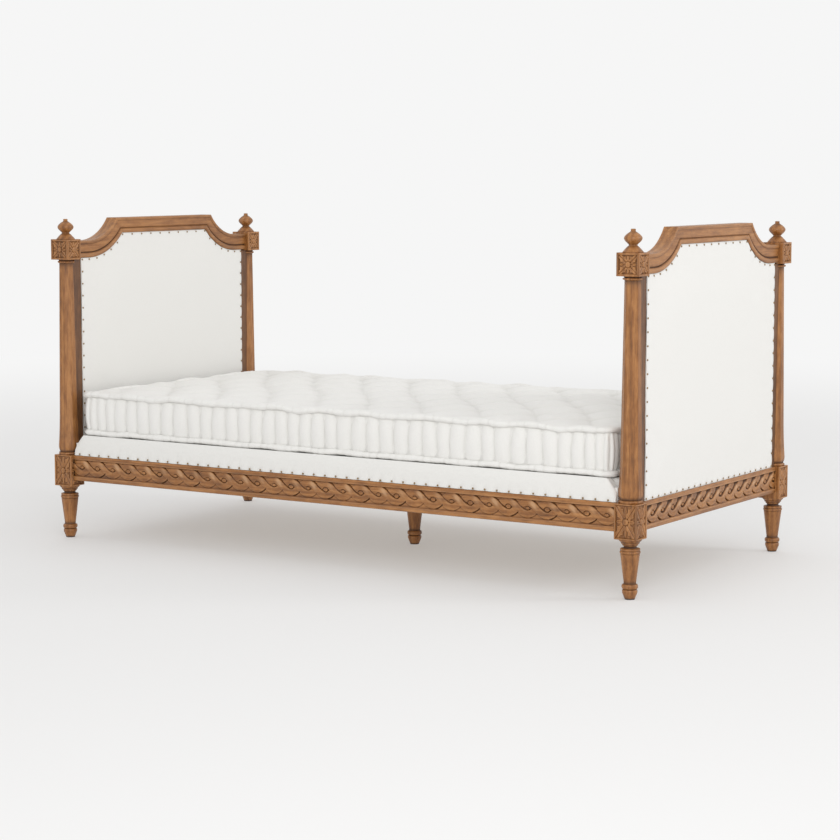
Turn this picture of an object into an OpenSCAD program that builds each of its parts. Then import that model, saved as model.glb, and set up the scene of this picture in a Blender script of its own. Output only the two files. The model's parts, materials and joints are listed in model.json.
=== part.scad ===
// Upholstered daybed: carved posts and rails, padded end panels, slatted deck and a tufted mattress.
// Millimetres. +X runs from the headboard to the footboard, +Y to the back, +Z up.
// The origin is on the floor under the middle of the bed. The head is at -X.

/* [Overall] */
// Length over the corner blocks
bed_l = 2082.8; // [1980:0.1:2160]
// Depth over the corner blocks
bed_d = 1016; // [1000:0.1:1200]
// Height of the crest rails and finials
bed_h = 1016; // [1000:0.1:1100]

/* [Posts] */
// Width of a post's blocks along the bed
block_x = 70; // [66:0.5:76]
// Width of a post's blocks across the bed
block_y = 65; // [62:0.5:70]
// Height of the turned leg under the lower block
leg_h = 168; // [166:1:180]
// Height of the lower block
low_block_h = 99; // [95:1:105]
// Height of the upper block
up_block_h = 64; // [62:1:68]
// Height of a finial above its block
finial_h = 64; // [60:1:70]
// Thickness of a glide under a foot
glide_h = 2; // [1:0.5:3]

/* [End frames] */
// Thickness of the crest rail and of the carved end rail
end_t = 44; // [40:1:48]
// Half length of the crest's level top
crest_top_y = 250; // [220:1:270]
// Height of the crest where its top is level
crest_flat_h = 49; // [44:1:54]
// Depth of the crest along its scooped ends
crest_band = 54; // [48:1:56]
// Width of the flat stile, from the panel to where it laps the column
stile_w = 24; // [20:1:28]
// Thickness of a stile
stile_t = 30; // [24:1:36]
// Thickness of the plywood panel
panel_t = 12; // [9:1:15]
// Thickness of the padding on each face of a panel
pad_t = 13; // [10:1:14]

/* [Side rails] */
// Height of a carved rail
rail_h = 80; // [76:1:84]
// Thickness of a carved side rail
rail_t = 38; // [34:1:42]
// How far a side rail's face stands back from the blocks
rail_back = 12; // [8:1:14]
// Thickness of the board behind the upholstered band
band_board_t = 24; // [20:1:26]
// Thickness of the band's padding at its foot
band_pad_t = 12; // [10:1:12]

/* [Deck] */
// Number of slats
slat_count = 14; // [10:1:16]
// Width of a slat
slat_w = 70; // [50:1:80]
// Thickness of a slat
slat_t = 20; // [18:1:22]
// Width of the centre beam
beam_w = 45; // [40:1:55]
// Width of the cleat that carries the slats
cleat_w = 28; // [24:1:32]
// Height of that cleat
cleat_h = 42; // [36:1:50]

/* [Mattress] */
// Mattress length
mat_l = 1905; // [1880:1:1905]
// Mattress width
mat_w = 965; // [900:1:965]
// Mattress thickness at its crown
mat_t = 150; // [140:1:170]
// Height of the deck that it lies on
deck_z = 330; // [325:1:335]

/* [Nails] */
// Radius of a nail's head
nail_r = 3.5; // [3.5:0.1:5]
// Height of a nail's head
nail_h = 2.4; // [2:0.1:2.8]
// Nail spacing along the side bands
nail_pitch_side = 40; // [36:1:48]
// Nail spacing up the stiles and along the end rails
nail_pitch_end = 37; // [34:1:45]
// Distance of the nails from the edge of the wood
nail_in = 6; // [6:1:10]

/* [Hidden] */
$fn = 48;

post_x = bed_l/2 - block_x/2;
post_y = bed_d/2 - block_y/2;
low_block_top = leg_h + low_block_h;
up_block_top = bed_h - finial_h;
up_block_z = up_block_top - up_block_h;
inner_x = bed_l/2 - block_x;            // inner faces of the blocks
inner_y = bed_d/2 - block_y;

rail_z = low_block_top - rail_h;        // both carved rails end level with the blocks
rail_face = bed_d/2 - rail_back;        // outer face of a side rail
rail_in = rail_face - rail_t;           // its inner face
band_board_y = rail_in + band_board_t;  // outer face of the board behind the band
band_board_top = deck_z - 24;
band_face = band_board_y + band_pad_t;  // outermost line of the band's padding

scoop_y = 385;                          // the scoops' centre
scoop_z = 1111 + bed_h - 1016;
scoop_r = norm([scoop_y - crest_top_y, scoop_z - bed_h]);
scoop_steps = 12;
crest_end_z = scoop_z - scoop_r;        // crest's top edge beside a block
crest_low_r = scoop_r + crest_band;
panel_y = inner_y - 19;                 // half width of an end panel
stile_y = panel_y + stile_w;
clear = 0.3;                            // gap left round padding

tenon_t = 22;
tenon_l = 28;
spigot_r = 8;
spigot_l = 15;

mortise_top_z = up_block_z + 10;
mortise_top_h = 34;
mortise_low_z = rail_z + 12;
mortise_low_h = rail_h - 24;

hook_plate_t = 3;
slot_plate_t = 2.5;
plate_w = 22;
plate_h = 70;
hook_w = 4;
hook_reach = 12;
hook_h = 14;
hook_drop = 8;
hook_step = 34;
rail_mid_y = rail_face - rail_t/2;
plate_z = rail_z + (rail_h - plate_h)/2;
plate_screw_r = 2.2;
plate_screw_y = 7;

slat_z = low_block_top;
slat_top = slat_z + slat_t;
slat_span = 1860;
slat_places = [for (i = [0:slat_count - 1]) (slat_span - slat_w)*(i/(slat_count - 1) - 1/2)];
slat_screw_y = rail_in - cleat_w/2;
slat_screw_r = 2.4;
slat_screw_l = 45;
beam_l = 2*(post_x - end_t/2) - 8;
leg_plate_t = 4;
leg_plate_l = 90;
centre_block = 60;
leg_screw_r = 2.4;
leg_screw_x = 36;
leg_screw_y = 13;
bolt_r = 4;
bolt_low = 130;
bolt_high = 215;

// Half-round swelling (out > 0) or hollow (out < 0) between two heights of a turned profile.
function bead(r, out, z0, z1, n = 8) =
  [for (i = [0:n]) [r + out*sin(180*i/n), z0 + (z1 - z0)*(1 - cos(180*i/n))/2]];

// Turned outline of a leg, as radius and height, from the glide to the block.
leg_profile = concat(
  [[0, glide_h], [14.8, glide_h], [21.2, 18], [21.4, 26], [18.4, 28.6]],
  bead(20.2, 2.6, 30, 42),
  [[17.4, 44.4], [17.4, 47], [27.6, 127]],
  bead(26.8, 2.2, 128, 135),
  bead(26.2, 1.8, 136, 142),
  [[18, 145], [17.6, 148], [22, 150.6], [22, 153.4], [26, 156], [26, 159], [31.4, 164]],
  [[32.2, 166], [32.2, leg_h + 2], [0, leg_h + 2]]
);

// Turned outline of a finial above its block.
finial_profile = concat(
  [[0, 0], [28.7, 0], [28.7, 3], [26.4, 4.6], [23, 8.4], [16, 15.4], [12.2, 18.6], [11.8, 20]],
  [[16.4, 25.2], [22.6, 31.6], [25, 36.4], [25, 40], [22.6, 44.8], [15.4, 51.6], [8, 56]],
  [[6.6, 57.4], [6.8, finial_h - 2], [5.4, finial_h], [0, finial_h]]
);

// Half widths of the eight-sided column and the heights where they hold. Its ends run into the blocks.
column_steps = [
  [32.2, low_block_top - 4], [32.2, low_block_top + 7],
  [29, low_block_top + 10], [32, low_block_top + 26],
  [29.6, low_block_top + 60], [27.4, low_block_top + 120],
  [21, up_block_z - 12], [26, up_block_z - 9], [26, up_block_z + 4]
];

// One scoop's edge from its level end to the height top, on the -Y side, as Y and Z.
function scoop(r, top) =
  let (turn = acos((scoop_z - top)/r))
  [for (i = [0:scoop_steps]) let (a = turn*i/scoop_steps) [-scoop_y + r*sin(a), scoop_z - r*cos(a)]];
function flip(points) =
  [for (i = [len(points) - 1:-1:0]) [-points[i][0], points[i][1]]];
function both(points) = concat(points, flip(points));
function reverse(points) = [for (i = [len(points) - 1:-1:0]) points[i]];

module at_end(side) {
  // Draws an end frame's piece at the foot (1) or at the head (-1).
  if (side > 0) translate([post_x, 0, 0]) children();
  else mirror([1, 0, 0]) translate([post_x, 0, 0]) children();
}

module at_face(side) {
  // Draws a piece made for the front (-1) at the front or at the back (1).
  if (side < 0) children();
  else mirror([0, 1, 0]) children();
}

module at_corner(end, face) {
  at_end(end) at_face(face) translate([0, -post_y, 0]) children();
}

module slab(thickness) {
  // Extrudes an outline drawn as Y and Z evenly about the post's plane.
  rotate([90, 0, 90]) translate([0, 0, -thickness/2]) linear_extrude(thickness) children();
}

module box(low, high) {
  translate(low) cube(high - low);
}

// Corner posts

module column() {
  // Eight flat sides: the common part of one outline carried through in four directions.
  intersection_for (a = [0:45:135])
    rotate(a) rotate([90, 0, 0]) translate([0, 0, -block_x]) linear_extrude(2*block_x)
      polygon(concat(column_steps, [for (p = reverse(column_steps)) [-p[0], p[1]]]));
}

module hook_pocket() {
  box([-block_x/2 - 1, -plate_w/2, plate_z], [-block_x/2 + slot_plate_t, plate_w/2, plate_z + plate_h]);
  box([-block_x/2 - 1, -hook_w, plate_z + 2], [-block_x/2 + hook_reach + 3, hook_w, plate_z + plate_h - 2]);
  for (z = [5, plate_h - 5])
    translate([-block_x/2 - 1, -plate_screw_y, plate_z + z]) rotate([0, 90, 0])
      cylinder(h = 22, r = plate_screw_r, $fn = 24);
}

module post() {
  color("peru") difference() {
    union() {
      rotate_extrude() polygon(leg_profile);
      box([-block_x/2, -block_y/2, leg_h], [block_x/2, block_y/2, low_block_top]);
      column();
      box([-block_x/2, -block_y/2, up_block_z], [block_x/2, block_y/2, up_block_top]);
    }
    translate([0, 0, up_block_top - spigot_l - 0.5]) cylinder(h = spigot_l + 1, r = spigot_r);
    box([-tenon_t/2, block_y/2 - tenon_l, mortise_top_z],
      [tenon_t/2, block_y/2 + 1, mortise_top_z + mortise_top_h]);
    box([-tenon_t/2, block_y/2 - tenon_l, mortise_low_z],
      [tenon_t/2, block_y/2 + 1, mortise_low_z + mortise_low_h]);
    translate([0, post_y - rail_mid_y, 0]) hook_pocket();
  }
}

module finial() {
  color("peru") translate([0, 0, up_block_top]) {
    rotate_extrude() polygon(finial_profile);
    translate([0, 0, -spigot_l]) cylinder(h = spigot_l + 1, r = spigot_r);
  }
}

module foot_glides() {
  color("dimgray") {
    for (x = [-post_x, post_x], y = [-post_y, post_y]) translate([x, y, 0]) cylinder(h = glide_h, r = 14);
    cylinder(h = glide_h, r = 14);
  }
}

// End frames

module crest_rail() {
  color("peru") {
    slab(end_t) polygon(concat(
      [[-inner_y, crest_end_z]], both(scoop(scoop_r, bed_h)), [[inner_y, crest_end_z]],
      [[inner_y, scoop_z - crest_low_r]],
      reverse(both(scoop(crest_low_r, bed_h - crest_flat_h))),
      [[-inner_y, scoop_z - crest_low_r]]
    ));
    for (s = [-1, 1]) at_face(s) tenon(mortise_top_z, mortise_top_h);
  }
}

module tenon(z, h) {
  // Runs from the end of a rail into the front post.
  box([-tenon_t/2, -inner_y - tenon_l, z], [tenon_t/2, -inner_y + 1, z + h]);
}

module end_rail() {
  color("peru") {
    box([-end_t/2, -inner_y, rail_z], [end_t/2, inner_y, low_block_top]);
    for (s = [-1, 1]) at_face(s) tenon(mortise_low_z, mortise_low_h);
  }
}

module stile() {
  // A flat strip whose outer edge is scribed to the column beside it.
  color("saddlebrown") difference() {
    box([-stile_t/2, -stile_y - 20, low_block_top], [stile_t/2, -panel_y, up_block_z]);
    translate([0, -post_y, 0]) column();
  }
}

module panel_outline(inset = 0) {
  crest = scoop(crest_low_r + inset, bed_h - crest_flat_h - inset);
  shoulder_z = scoop_z - crest_low_r - inset;
  polygon(concat(
    [[-panel_y + inset, low_block_top + inset], [-panel_y + inset, shoulder_z]],
    both(crest),
    [[panel_y - inset, shoulder_z], [panel_y - inset, low_block_top + inset]]
  ));
}

module panel_board() {
  color("burlywood") slab(panel_t) panel_outline();
}

module panel_pad(side) {
  // One upholstered face: -1 looks into the bed, 1 looks out.
  color("ivory") translate([side*(panel_t + pad_t)/2, 0, 0]) slab(pad_t) panel_outline(clear);
}

module nail_head() {
  cylinder(h = nail_h/3, r = nail_r, $fn = 24);
  translate([0, 0, nail_h/3]) cylinder(h = nail_h*2/3, r1 = nail_r, r2 = nail_r/2, $fn = 24);
}

// Where the nails of one face of an end panel stand, as Y and Z.
nail_col_y = panel_y - nail_in;
nail_low_z = low_block_top + nail_in;
nail_col_n = round((scoop_z - crest_low_r - nail_in - nail_low_z)/nail_pitch_end);
nail_row_n = round(2*nail_col_y/nail_pitch_end);
nail_top_z = bed_h - crest_flat_h - nail_in;
nail_scoop_r = crest_low_r + nail_in;
nail_turn = acos((scoop_z - nail_top_z)/nail_scoop_r);
nail_top_y = scoop_y - nail_scoop_r*sin(nail_turn);
nail_scoop_n = 5;
nail_top_n = 9;
panel_nail_places = concat(
  [for (s = [-1, 1], i = [1:nail_col_n])
    [s*nail_col_y, nail_low_z + (scoop_z - nail_scoop_r - nail_low_z)*i/nail_col_n]],
  [for (i = [0:nail_row_n]) [-nail_col_y + 2*nail_col_y*i/nail_row_n, nail_low_z]],
  [for (s = [-1, 1], i = [0:nail_scoop_n - 1]) let (a = nail_turn*i/nail_scoop_n)
    [s*(scoop_y - nail_scoop_r*sin(a)), scoop_z - nail_scoop_r*cos(a)]],
  [for (i = [0:nail_top_n]) [-nail_top_y + 2*nail_top_y*i/nail_top_n, nail_top_z]]
);

module panel_nails() {
  color("goldenrod") for (side = [-1, 1], p = panel_nail_places)
    translate([side*(panel_t/2 + pad_t), p[0], p[1]]) rotate([0, side*90, 0]) nail_head();
}

// Side rails, drawn for the front

module side_rail() {
  color("peru") difference() {
    box([-inner_x, -rail_face, rail_z], [inner_x, -rail_in, low_block_top]);
    for (end = [-1, 1]) at_end(end)
      box(
        [-block_x/2 - hook_plate_t, -rail_mid_y - plate_w/2, plate_z],
        [-block_x/2 + 1, -rail_mid_y + plate_w/2, plate_z + plate_h]
      );
  }
}

module band_board() {
  color("burlywood")
    box([-inner_x + 2, -band_board_y, low_block_top], [inner_x - 2, -rail_in, band_board_top]);
}

module band_pad() {
  // Padding that swells out over the rail and rounds inward to the deck.
  color("ivory") translate([-inner_x + 3, 0, 0]) rotate([90, 0, 90]) linear_extrude(2*inner_x - 6)
    polygon(concat(
      [[-band_board_y - clear, low_block_top + clear]],
      [for (a = [0:10:90]) [
        -band_face + (band_face - rail_in - 2)*(1 - cos(a)),
        low_block_top + clear + (deck_z - low_block_top - clear)*sin(a)
      ]],
      [[-rail_in, deck_z], [-rail_in, band_board_top + clear],
        [-band_board_y - clear, band_board_top + clear]]
    ));
}

module band_nails() {
  n = round(2*(inner_x - 25)/nail_pitch_side);
  color("goldenrod") for (i = [0:n])
    translate([(inner_x - 25)*(2*i/n - 1), -band_face, low_block_top + nail_r + 2])
      rotate([90, 0, 0]) nail_head();
}

// Hook-on rail fittings

module each_rail_end() {
  for (end = [-1, 1], face = [-1, 1])
    at_end(end) at_face(face) translate([-block_x/2, -rail_mid_y, plate_z]) children();
}

module rail_hook_plates() {
  color("silver") each_rail_end() difference() {
    union() {
      box([-hook_plate_t, -plate_w/2, 0], [0, plate_w/2, plate_h]);
      for (z = [0, hook_step]) translate([0, 0, z + 12]) {
        box([-1, -hook_w/2, 6], [hook_reach, hook_w/2, 6 + hook_h]);
        box([slot_plate_t + 0.5, -hook_w/2, 6 - hook_drop], [hook_reach, hook_w/2, 7]);
      }
    }
    for (z = [5, plate_h - 5]) translate([-hook_plate_t - 1, -plate_screw_y, z]) rotate([0, 90, 0])
      cylinder(h = hook_plate_t + 2, r = plate_screw_r + 0.2, $fn = 24);
  }
}

module post_slot_plates() {
  color("silver") each_rail_end() difference() {
    box([0, -plate_w/2, 0], [slot_plate_t, plate_w/2, plate_h]);
    for (z = [0, hook_step])
      box([-1, -hook_w/2 - 0.5, z + 9], [slot_plate_t + 1, hook_w/2 + 0.5, z + 33]);
    for (z = [5, plate_h - 5]) translate([-1, -plate_screw_y, z]) rotate([0, 90, 0])
      cylinder(h = slot_plate_t + 2, r = plate_screw_r + 0.2, $fn = 24);
  }
}

module hook_plate_screws() {
  color("gray") each_rail_end() for (z = [5, plate_h - 5])
    translate([slot_plate_t, -plate_screw_y, z]) rotate([0, 90, 0])
      cylinder(h = 15, r = plate_screw_r, $fn = 24);
}

// Deck

module slat_cleat() {
  color("burlywood") difference() {
    box([-inner_x + 10, -rail_in, slat_z - cleat_h], [inner_x - 10, -rail_in + cleat_w, slat_z]);
    for (x = slat_places) translate([x, -slat_screw_y, slat_z - slat_screw_l])
      cylinder(h = slat_screw_l + 1, r = slat_screw_r, $fn = 24);
  }
}

module slats() {
  color("burlywood") for (x = slat_places) difference() {
    box([x - slat_w/2, -rail_in + 1, slat_z], [x + slat_w/2, rail_in - 1, slat_top]);
    for (s = [-1, 1]) translate([x, s*slat_screw_y, slat_z - 1]) {
      cylinder(h = slat_t + 2, r = slat_screw_r + 0.2, $fn = 24);
      translate([0, 0, slat_t - 3]) cylinder(h = 5, r = 5, $fn = 24);
    }
  }
}

module slat_screws() {
  color("gray") for (x = slat_places, s = [-1, 1]) translate([x, s*slat_screw_y, slat_top]) {
    translate([0, 0, -4]) cylinder(h = 3.5, r = 4.6, $fn = 24);
    translate([0, 0, -slat_screw_l]) cylinder(h = slat_screw_l - 1, r = slat_screw_r, $fn = 24);
  }
}

module deck_pad() {
  // The upholstered pad between the band boards.
  color("ivory")
    box([-inner_x + 6, -rail_in + 1, slat_top], [inner_x - 6, rail_in - 1, deck_z - clear]);
}

module centre_beam() {
  color("burlywood") difference() {
    box([-beam_l/2, -beam_w/2, rail_z], [beam_l/2, beam_w/2, slat_z]);
    translate([0, 0, rail_z - 1]) cylinder(h = bolt_high - rail_z + 2, r = bolt_r + 0.2);
    leg_screw_places() cylinder(h = 36, r = leg_screw_r, center = true, $fn = 24);
  }
}

module leg_screw_places() {
  for (x = [-leg_screw_x, leg_screw_x], y = [-leg_screw_y, leg_screw_y])
    translate([x, y, rail_z]) children();
}

module beam_brackets() {
  // A steel shoe on each end rail holds the end of the beam.
  cheek = 3;
  reach = 40;
  color("silver") for (end = [-1, 1]) at_end(end) translate([-end_t/2, 0, 0]) {
    box([-cheek, -beam_w/2 - 15, rail_z], [0, beam_w/2 + 15, rail_z + 60]);
    box([-reach, -beam_w/2 - cheek, rail_z - cheek], [0, beam_w/2 + cheek, rail_z]);
    for (s = [-1, 1]) at_face(s)
      box([-reach, -beam_w/2 - cheek, rail_z - cheek], [0, -beam_w/2, rail_z + 40]);
  }
}

// Centre leg

module centre_leg() {
  color("peru") difference() {
    union() {
      rotate_extrude() polygon(leg_profile);
      box([-centre_block/2, -centre_block/2, leg_h], [centre_block/2, centre_block/2, rail_z - leg_plate_t]);
    }
    translate([0, 0, bolt_low]) cylinder(h = rail_z, r = bolt_r + 0.2);
  }
}

module leg_plate() {
  color("silver") difference() {
    box([-leg_plate_l/2, -beam_w/2, rail_z - leg_plate_t], [leg_plate_l/2, beam_w/2, rail_z]);
    translate([0, 0, rail_z - leg_plate_t - 1]) cylinder(h = leg_plate_t + 2, r = bolt_r + 0.2);
    leg_screw_places() cylinder(h = 2*leg_plate_t + 2, r = leg_screw_r + 0.2, center = true, $fn = 24);
  }
}

module leg_plate_screws() {
  color("gray") leg_screw_places() {
    cylinder(h = 18, r = leg_screw_r, $fn = 24);
    translate([0, 0, -leg_plate_t]) cylinder(h = leg_plate_t + 1, r = leg_screw_r, $fn = 24);
    translate([0, 0, -leg_plate_t - 2.4]) cylinder(h = 2.4, r = 4.4, $fn = 24);
  }
}

module leg_hanger_bolt() {
  color("silver") translate([0, 0, bolt_low]) cylinder(h = bolt_high - bolt_low, r = bolt_r);
}

// Mattress

module rounded_plate(l, w, r, z0, z1) {
  translate([0, 0, z0]) linear_extrude(z1 - z0) {
    square([l - 2*r, w], center = true);
    square([l, w - 2*r], center = true);
    for (x = [-1, 1], y = [-1, 1]) translate([x*(l/2 - r), y*(w/2 - r)]) circle(r);
  }
}

roll_h = 20;                            // height of the stitched rolls round its edges
roll_in = 10;                           // how far its sides stand back from the rolls
roll_r = 45;
crown_h = 8;
crown_in = 60;

module mattress() {
  low = deck_z + clear;
  top = deck_z + mat_t - crown_h;
  color("white") {
    rounded_plate(mat_l, mat_w, roll_r, low, low + roll_h);
    rounded_plate(mat_l - 2*roll_in, mat_w - 2*roll_in, roll_r, low, top);
    rounded_plate(mat_l, mat_w, roll_r, top - roll_h, top);
    rounded_plate(mat_l - 2*crown_in, mat_w - 2*crown_in, roll_r, top - 1, top + crown_h);
  }
}

at_corner(-1, -1) post();  // post_head_front
at_corner(-1, 1) post();  // post_head_back
at_corner(1, -1) post();  // post_foot_front
at_corner(1, 1) post();  // post_foot_back
at_corner(-1, -1) finial();  // finial_head_front
at_corner(-1, 1) finial();  // finial_head_back
at_corner(1, -1) finial();  // finial_foot_front
at_corner(1, 1) finial();  // finial_foot_back
foot_glides();
at_end(-1) crest_rail();  // crest_rail_head
at_end(1) crest_rail();  // crest_rail_foot
at_end(-1) end_rail();  // end_rail_head
at_end(1) end_rail();  // end_rail_foot
at_end(-1) at_face(-1) stile();  // stile_head_front
at_end(-1) at_face(1) stile();  // stile_head_back
at_end(1) at_face(-1) stile();  // stile_foot_front
at_end(1) at_face(1) stile();  // stile_foot_back
at_end(-1) panel_board();  // panel_board_head
at_end(1) panel_board();  // panel_board_foot
at_end(-1) panel_pad(-1);  // inner_pad_head
at_end(1) panel_pad(-1);  // inner_pad_foot
at_end(-1) panel_pad(1);  // outer_pad_head
at_end(1) panel_pad(1);  // outer_pad_foot
at_end(-1) panel_nails();  // panel_nails_head
at_end(1) panel_nails();  // panel_nails_foot
at_face(-1) side_rail();  // side_rail_front
at_face(1) side_rail();  // side_rail_back
at_face(-1) band_board();  // band_board_front
at_face(1) band_board();  // band_board_back
at_face(-1) band_pad();  // band_pad_front
at_face(1) band_pad();  // band_pad_back
at_face(-1) band_nails();  // band_nails_front
at_face(1) band_nails();  // band_nails_back
rail_hook_plates();
post_slot_plates();
hook_plate_screws();
at_face(-1) slat_cleat();  // slat_cleat_front
at_face(1) slat_cleat();  // slat_cleat_back
beam_brackets();
centre_beam();
centre_leg();
leg_plate();
leg_plate_screws();
leg_hanger_bolt();
slats();
slat_screws();
deck_pad();
mattress();
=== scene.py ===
import json
import math

import bmesh
import bpy
import numpy as np
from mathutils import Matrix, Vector

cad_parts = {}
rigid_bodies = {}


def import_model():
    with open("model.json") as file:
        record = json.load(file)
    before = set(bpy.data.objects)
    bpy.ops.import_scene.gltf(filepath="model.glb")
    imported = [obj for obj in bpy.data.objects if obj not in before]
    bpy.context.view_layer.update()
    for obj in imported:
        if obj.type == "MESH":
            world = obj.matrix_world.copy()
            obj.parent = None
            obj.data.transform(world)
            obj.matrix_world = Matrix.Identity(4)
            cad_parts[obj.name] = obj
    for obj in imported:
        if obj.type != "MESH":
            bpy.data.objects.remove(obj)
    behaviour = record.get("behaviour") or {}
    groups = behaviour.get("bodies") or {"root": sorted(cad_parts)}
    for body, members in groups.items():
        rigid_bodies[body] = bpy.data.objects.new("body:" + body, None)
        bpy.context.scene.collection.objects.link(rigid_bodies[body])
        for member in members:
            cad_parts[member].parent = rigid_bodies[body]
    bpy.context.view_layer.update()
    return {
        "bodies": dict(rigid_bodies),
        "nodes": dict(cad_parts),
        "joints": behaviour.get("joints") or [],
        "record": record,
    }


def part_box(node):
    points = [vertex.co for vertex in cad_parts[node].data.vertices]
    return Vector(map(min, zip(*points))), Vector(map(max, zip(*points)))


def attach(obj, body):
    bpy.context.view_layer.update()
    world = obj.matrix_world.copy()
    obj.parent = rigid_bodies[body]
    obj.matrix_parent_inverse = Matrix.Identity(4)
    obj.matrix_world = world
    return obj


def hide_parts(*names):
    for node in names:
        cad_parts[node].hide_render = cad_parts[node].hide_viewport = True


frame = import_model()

scene = bpy.context.scene
metre = 0.001  # lengths below are in millimetres, and meshes are made in metres
rng = np.random.default_rng(7)


def boxOf(node):  # a CAD node's lowest and highest corner in millimetres
    return tuple(np.array(corner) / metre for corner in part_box(node))


# places read from the frame

postLow, postHigh = boxOf("post_foot_front")
railLow, railHigh = boxOf("side_rail_front")
bandLow, bandHigh = boxOf("band_pad_front")
mattressLow, mattressHigh = boxOf("mattress")

postX = (postLow[0] + postHigh[0]) / 2
postY = -(postLow[1] + postHigh[1]) / 2
blockHalfX = (postHigh[0] - postLow[0]) / 2
blockHalfY = (postHigh[1] - postLow[1]) / 2
innerX = postX - blockHalfX
innerY = postY - blockHalfY
lowBlockTop = railHigh[2]
upBlockLow, upBlockTop = boxOf("stile_foot_front")[1][2], postHigh[2]
panelY = boxOf("panel_board_foot")[1][1]
corners = {"HeadFront": (-1, -1), "HeadBack": (-1, 1), "FootFront": (1, -1), "FootBack": (1, 1)}


def cadName(stem, place):  # "post" and "HeadFront" give "post_head_front"
    return stem + "".join("_" + c.lower() if c.isupper() else c for c in place)


# mesh making

def smoothStep(x, low=0.0, high=1.0):
    t = np.clip((x - low) / (high - low), 0, 1)
    return t * t * (3 - 2 * t)


def gridQuads(rows, cols, start=0):  # rows are open, columns close on themselves
    a, b = np.meshgrid(np.arange(rows - 1), np.arange(cols), indexing="ij")
    after = (b + 1) % cols
    quads = np.stack([a * cols + b, (a + 1) * cols + b, (a + 1) * cols + after, a * cols + after], -1)
    return quads.reshape(-1, 4) + start


def tube(rings, hollow=None, loop=False):
    # rings is (rows, cols, 3): closed rings one after another. Each end gets a fan, or last joins first.
    rows, cols = rings.shape[:2]
    hollow = np.zeros((rows, cols)) if hollow is None else hollow
    if loop:
        rings = np.concatenate([rings, rings[:1]])
        quads = gridQuads(rows + 1, cols) % (rows * cols)
        return rings[:-1].reshape(-1, 3), quads, np.zeros((0, 3), int), hollow.ravel()
    points = np.concatenate([rings.reshape(-1, 3), rings[0].mean(0)[None], rings[-1].mean(0)[None]])
    here = np.arange(cols)
    there = (here + 1) % cols
    first = np.stack([here, there, np.full(cols, rows * cols)], -1)
    last = np.stack([there + (rows - 1) * cols, here + (rows - 1) * cols, np.full(cols, rows * cols + 1)], -1)
    ends = [hollow[0].mean(), hollow[-1].mean()]
    return points, gridQuads(rows, cols), np.concatenate([first, last]), np.concatenate([hollow.ravel(), ends])


def makePiece(name, shells, material, sharpAngle=32):
    # joins closed shells (points, quads, triangles, painted shading) in millimetres into one object in metres;
    # the painted shading is kept as a point attribute, painted shade above zero and painted highlight below
    points, faces, hollow, count = [], [], [], 0
    for shellPoints, quads, tris, shellShading in shells:
        points.append(shellPoints)
        hollow.append(shellShading)
        faces += (quads + count).tolist() + (tris + count).tolist()
        count += len(shellPoints)
    mesh = bpy.data.meshes.new(name)
    mesh.from_pydata((np.concatenate(points) * metre).tolist(), [], faces)
    layer = mesh.attributes.new("hollow", "FLOAT", "POINT")
    layer.data.foreach_set("value", np.concatenate(hollow).astype(np.float32))
    work = bmesh.new()
    work.from_mesh(mesh)
    bmesh.ops.dissolve_degenerate(work, dist=1e-7, edges=work.edges)
    bmesh.ops.recalc_face_normals(work, faces=work.faces)
    work.to_mesh(mesh)
    work.free()
    mesh.shade_smooth()
    if sharpAngle < 180:
        mesh.set_sharp_from_angle(angle=math.radians(sharpAngle))
    mesh.materials.append(material)
    piece = bpy.data.objects.new(name, mesh)
    scene.collection.objects.link(piece)
    return piece


def standFor(piece, body, slot, *nodes):
    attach(piece, body)
    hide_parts(*nodes)
    return piece


def blur(values, steps, axis=0):  # repeated neighbour means, with the ends held
    for _ in range(steps):
        padded = np.pad(values, [(1, 1) if k == axis else (0, 0) for k in range(values.ndim)], mode="edge")
        ahead = np.take(padded, np.arange(2, padded.shape[axis]), axis)
        behind = np.take(padded, np.arange(0, padded.shape[axis] - 2), axis)
        values = (values + ahead + behind) / 3
    return values


def carvedTone(height, reach, full):  # painted shade up to 1 in a relief's hollows, painted highlight down to -0.6 on its ridges
    around = blur(blur(height, reach, 0), reach, 1)
    return np.clip((around - height) / full, -0.6, 1)


# materials

def socket(group, name, kind, side):
    return group.interface.new_socket(name=name, in_out=side, socket_type="NodeSocket" + kind)


def link(tree, start, end):
    tree.links.new(start, end)


def addNode(tree, kind, **values):
    node = tree.nodes.new("ShaderNode" + kind)
    for key, value in values.items():
        if hasattr(node, key):
            setattr(node, key, value)
        else:
            node.inputs[key.replace("_", " ")].default_value = value
    return node


def maths(tree, operation, a, b=None, clamp=False):
    node = tree.nodes.new("ShaderNodeMath")
    node.operation = operation
    node.use_clamp = clamp
    for k, value in enumerate((a, b)):
        if value is None:
            continue
        if isinstance(value, (int, float)):
            node.inputs[k].default_value = value
        else:
            link(tree, value, node.inputs[k])
    return node.outputs[0]


def mixColours(tree, factor, a, b):
    node = tree.nodes.new("ShaderNodeMix")
    node.data_type = "RGBA"
    for place, value in (("Factor", factor), ("A", a), ("B", b)):
        into = [s for s in node.inputs if s.name == place and s.enabled][0]
        if isinstance(value, (int, float)):
            into.default_value = value
        elif isinstance(value, tuple):
            into.default_value = (*value, 1)
        else:
            link(tree, value, into)
    return [s for s in node.outputs if s.enabled][0]


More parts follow.
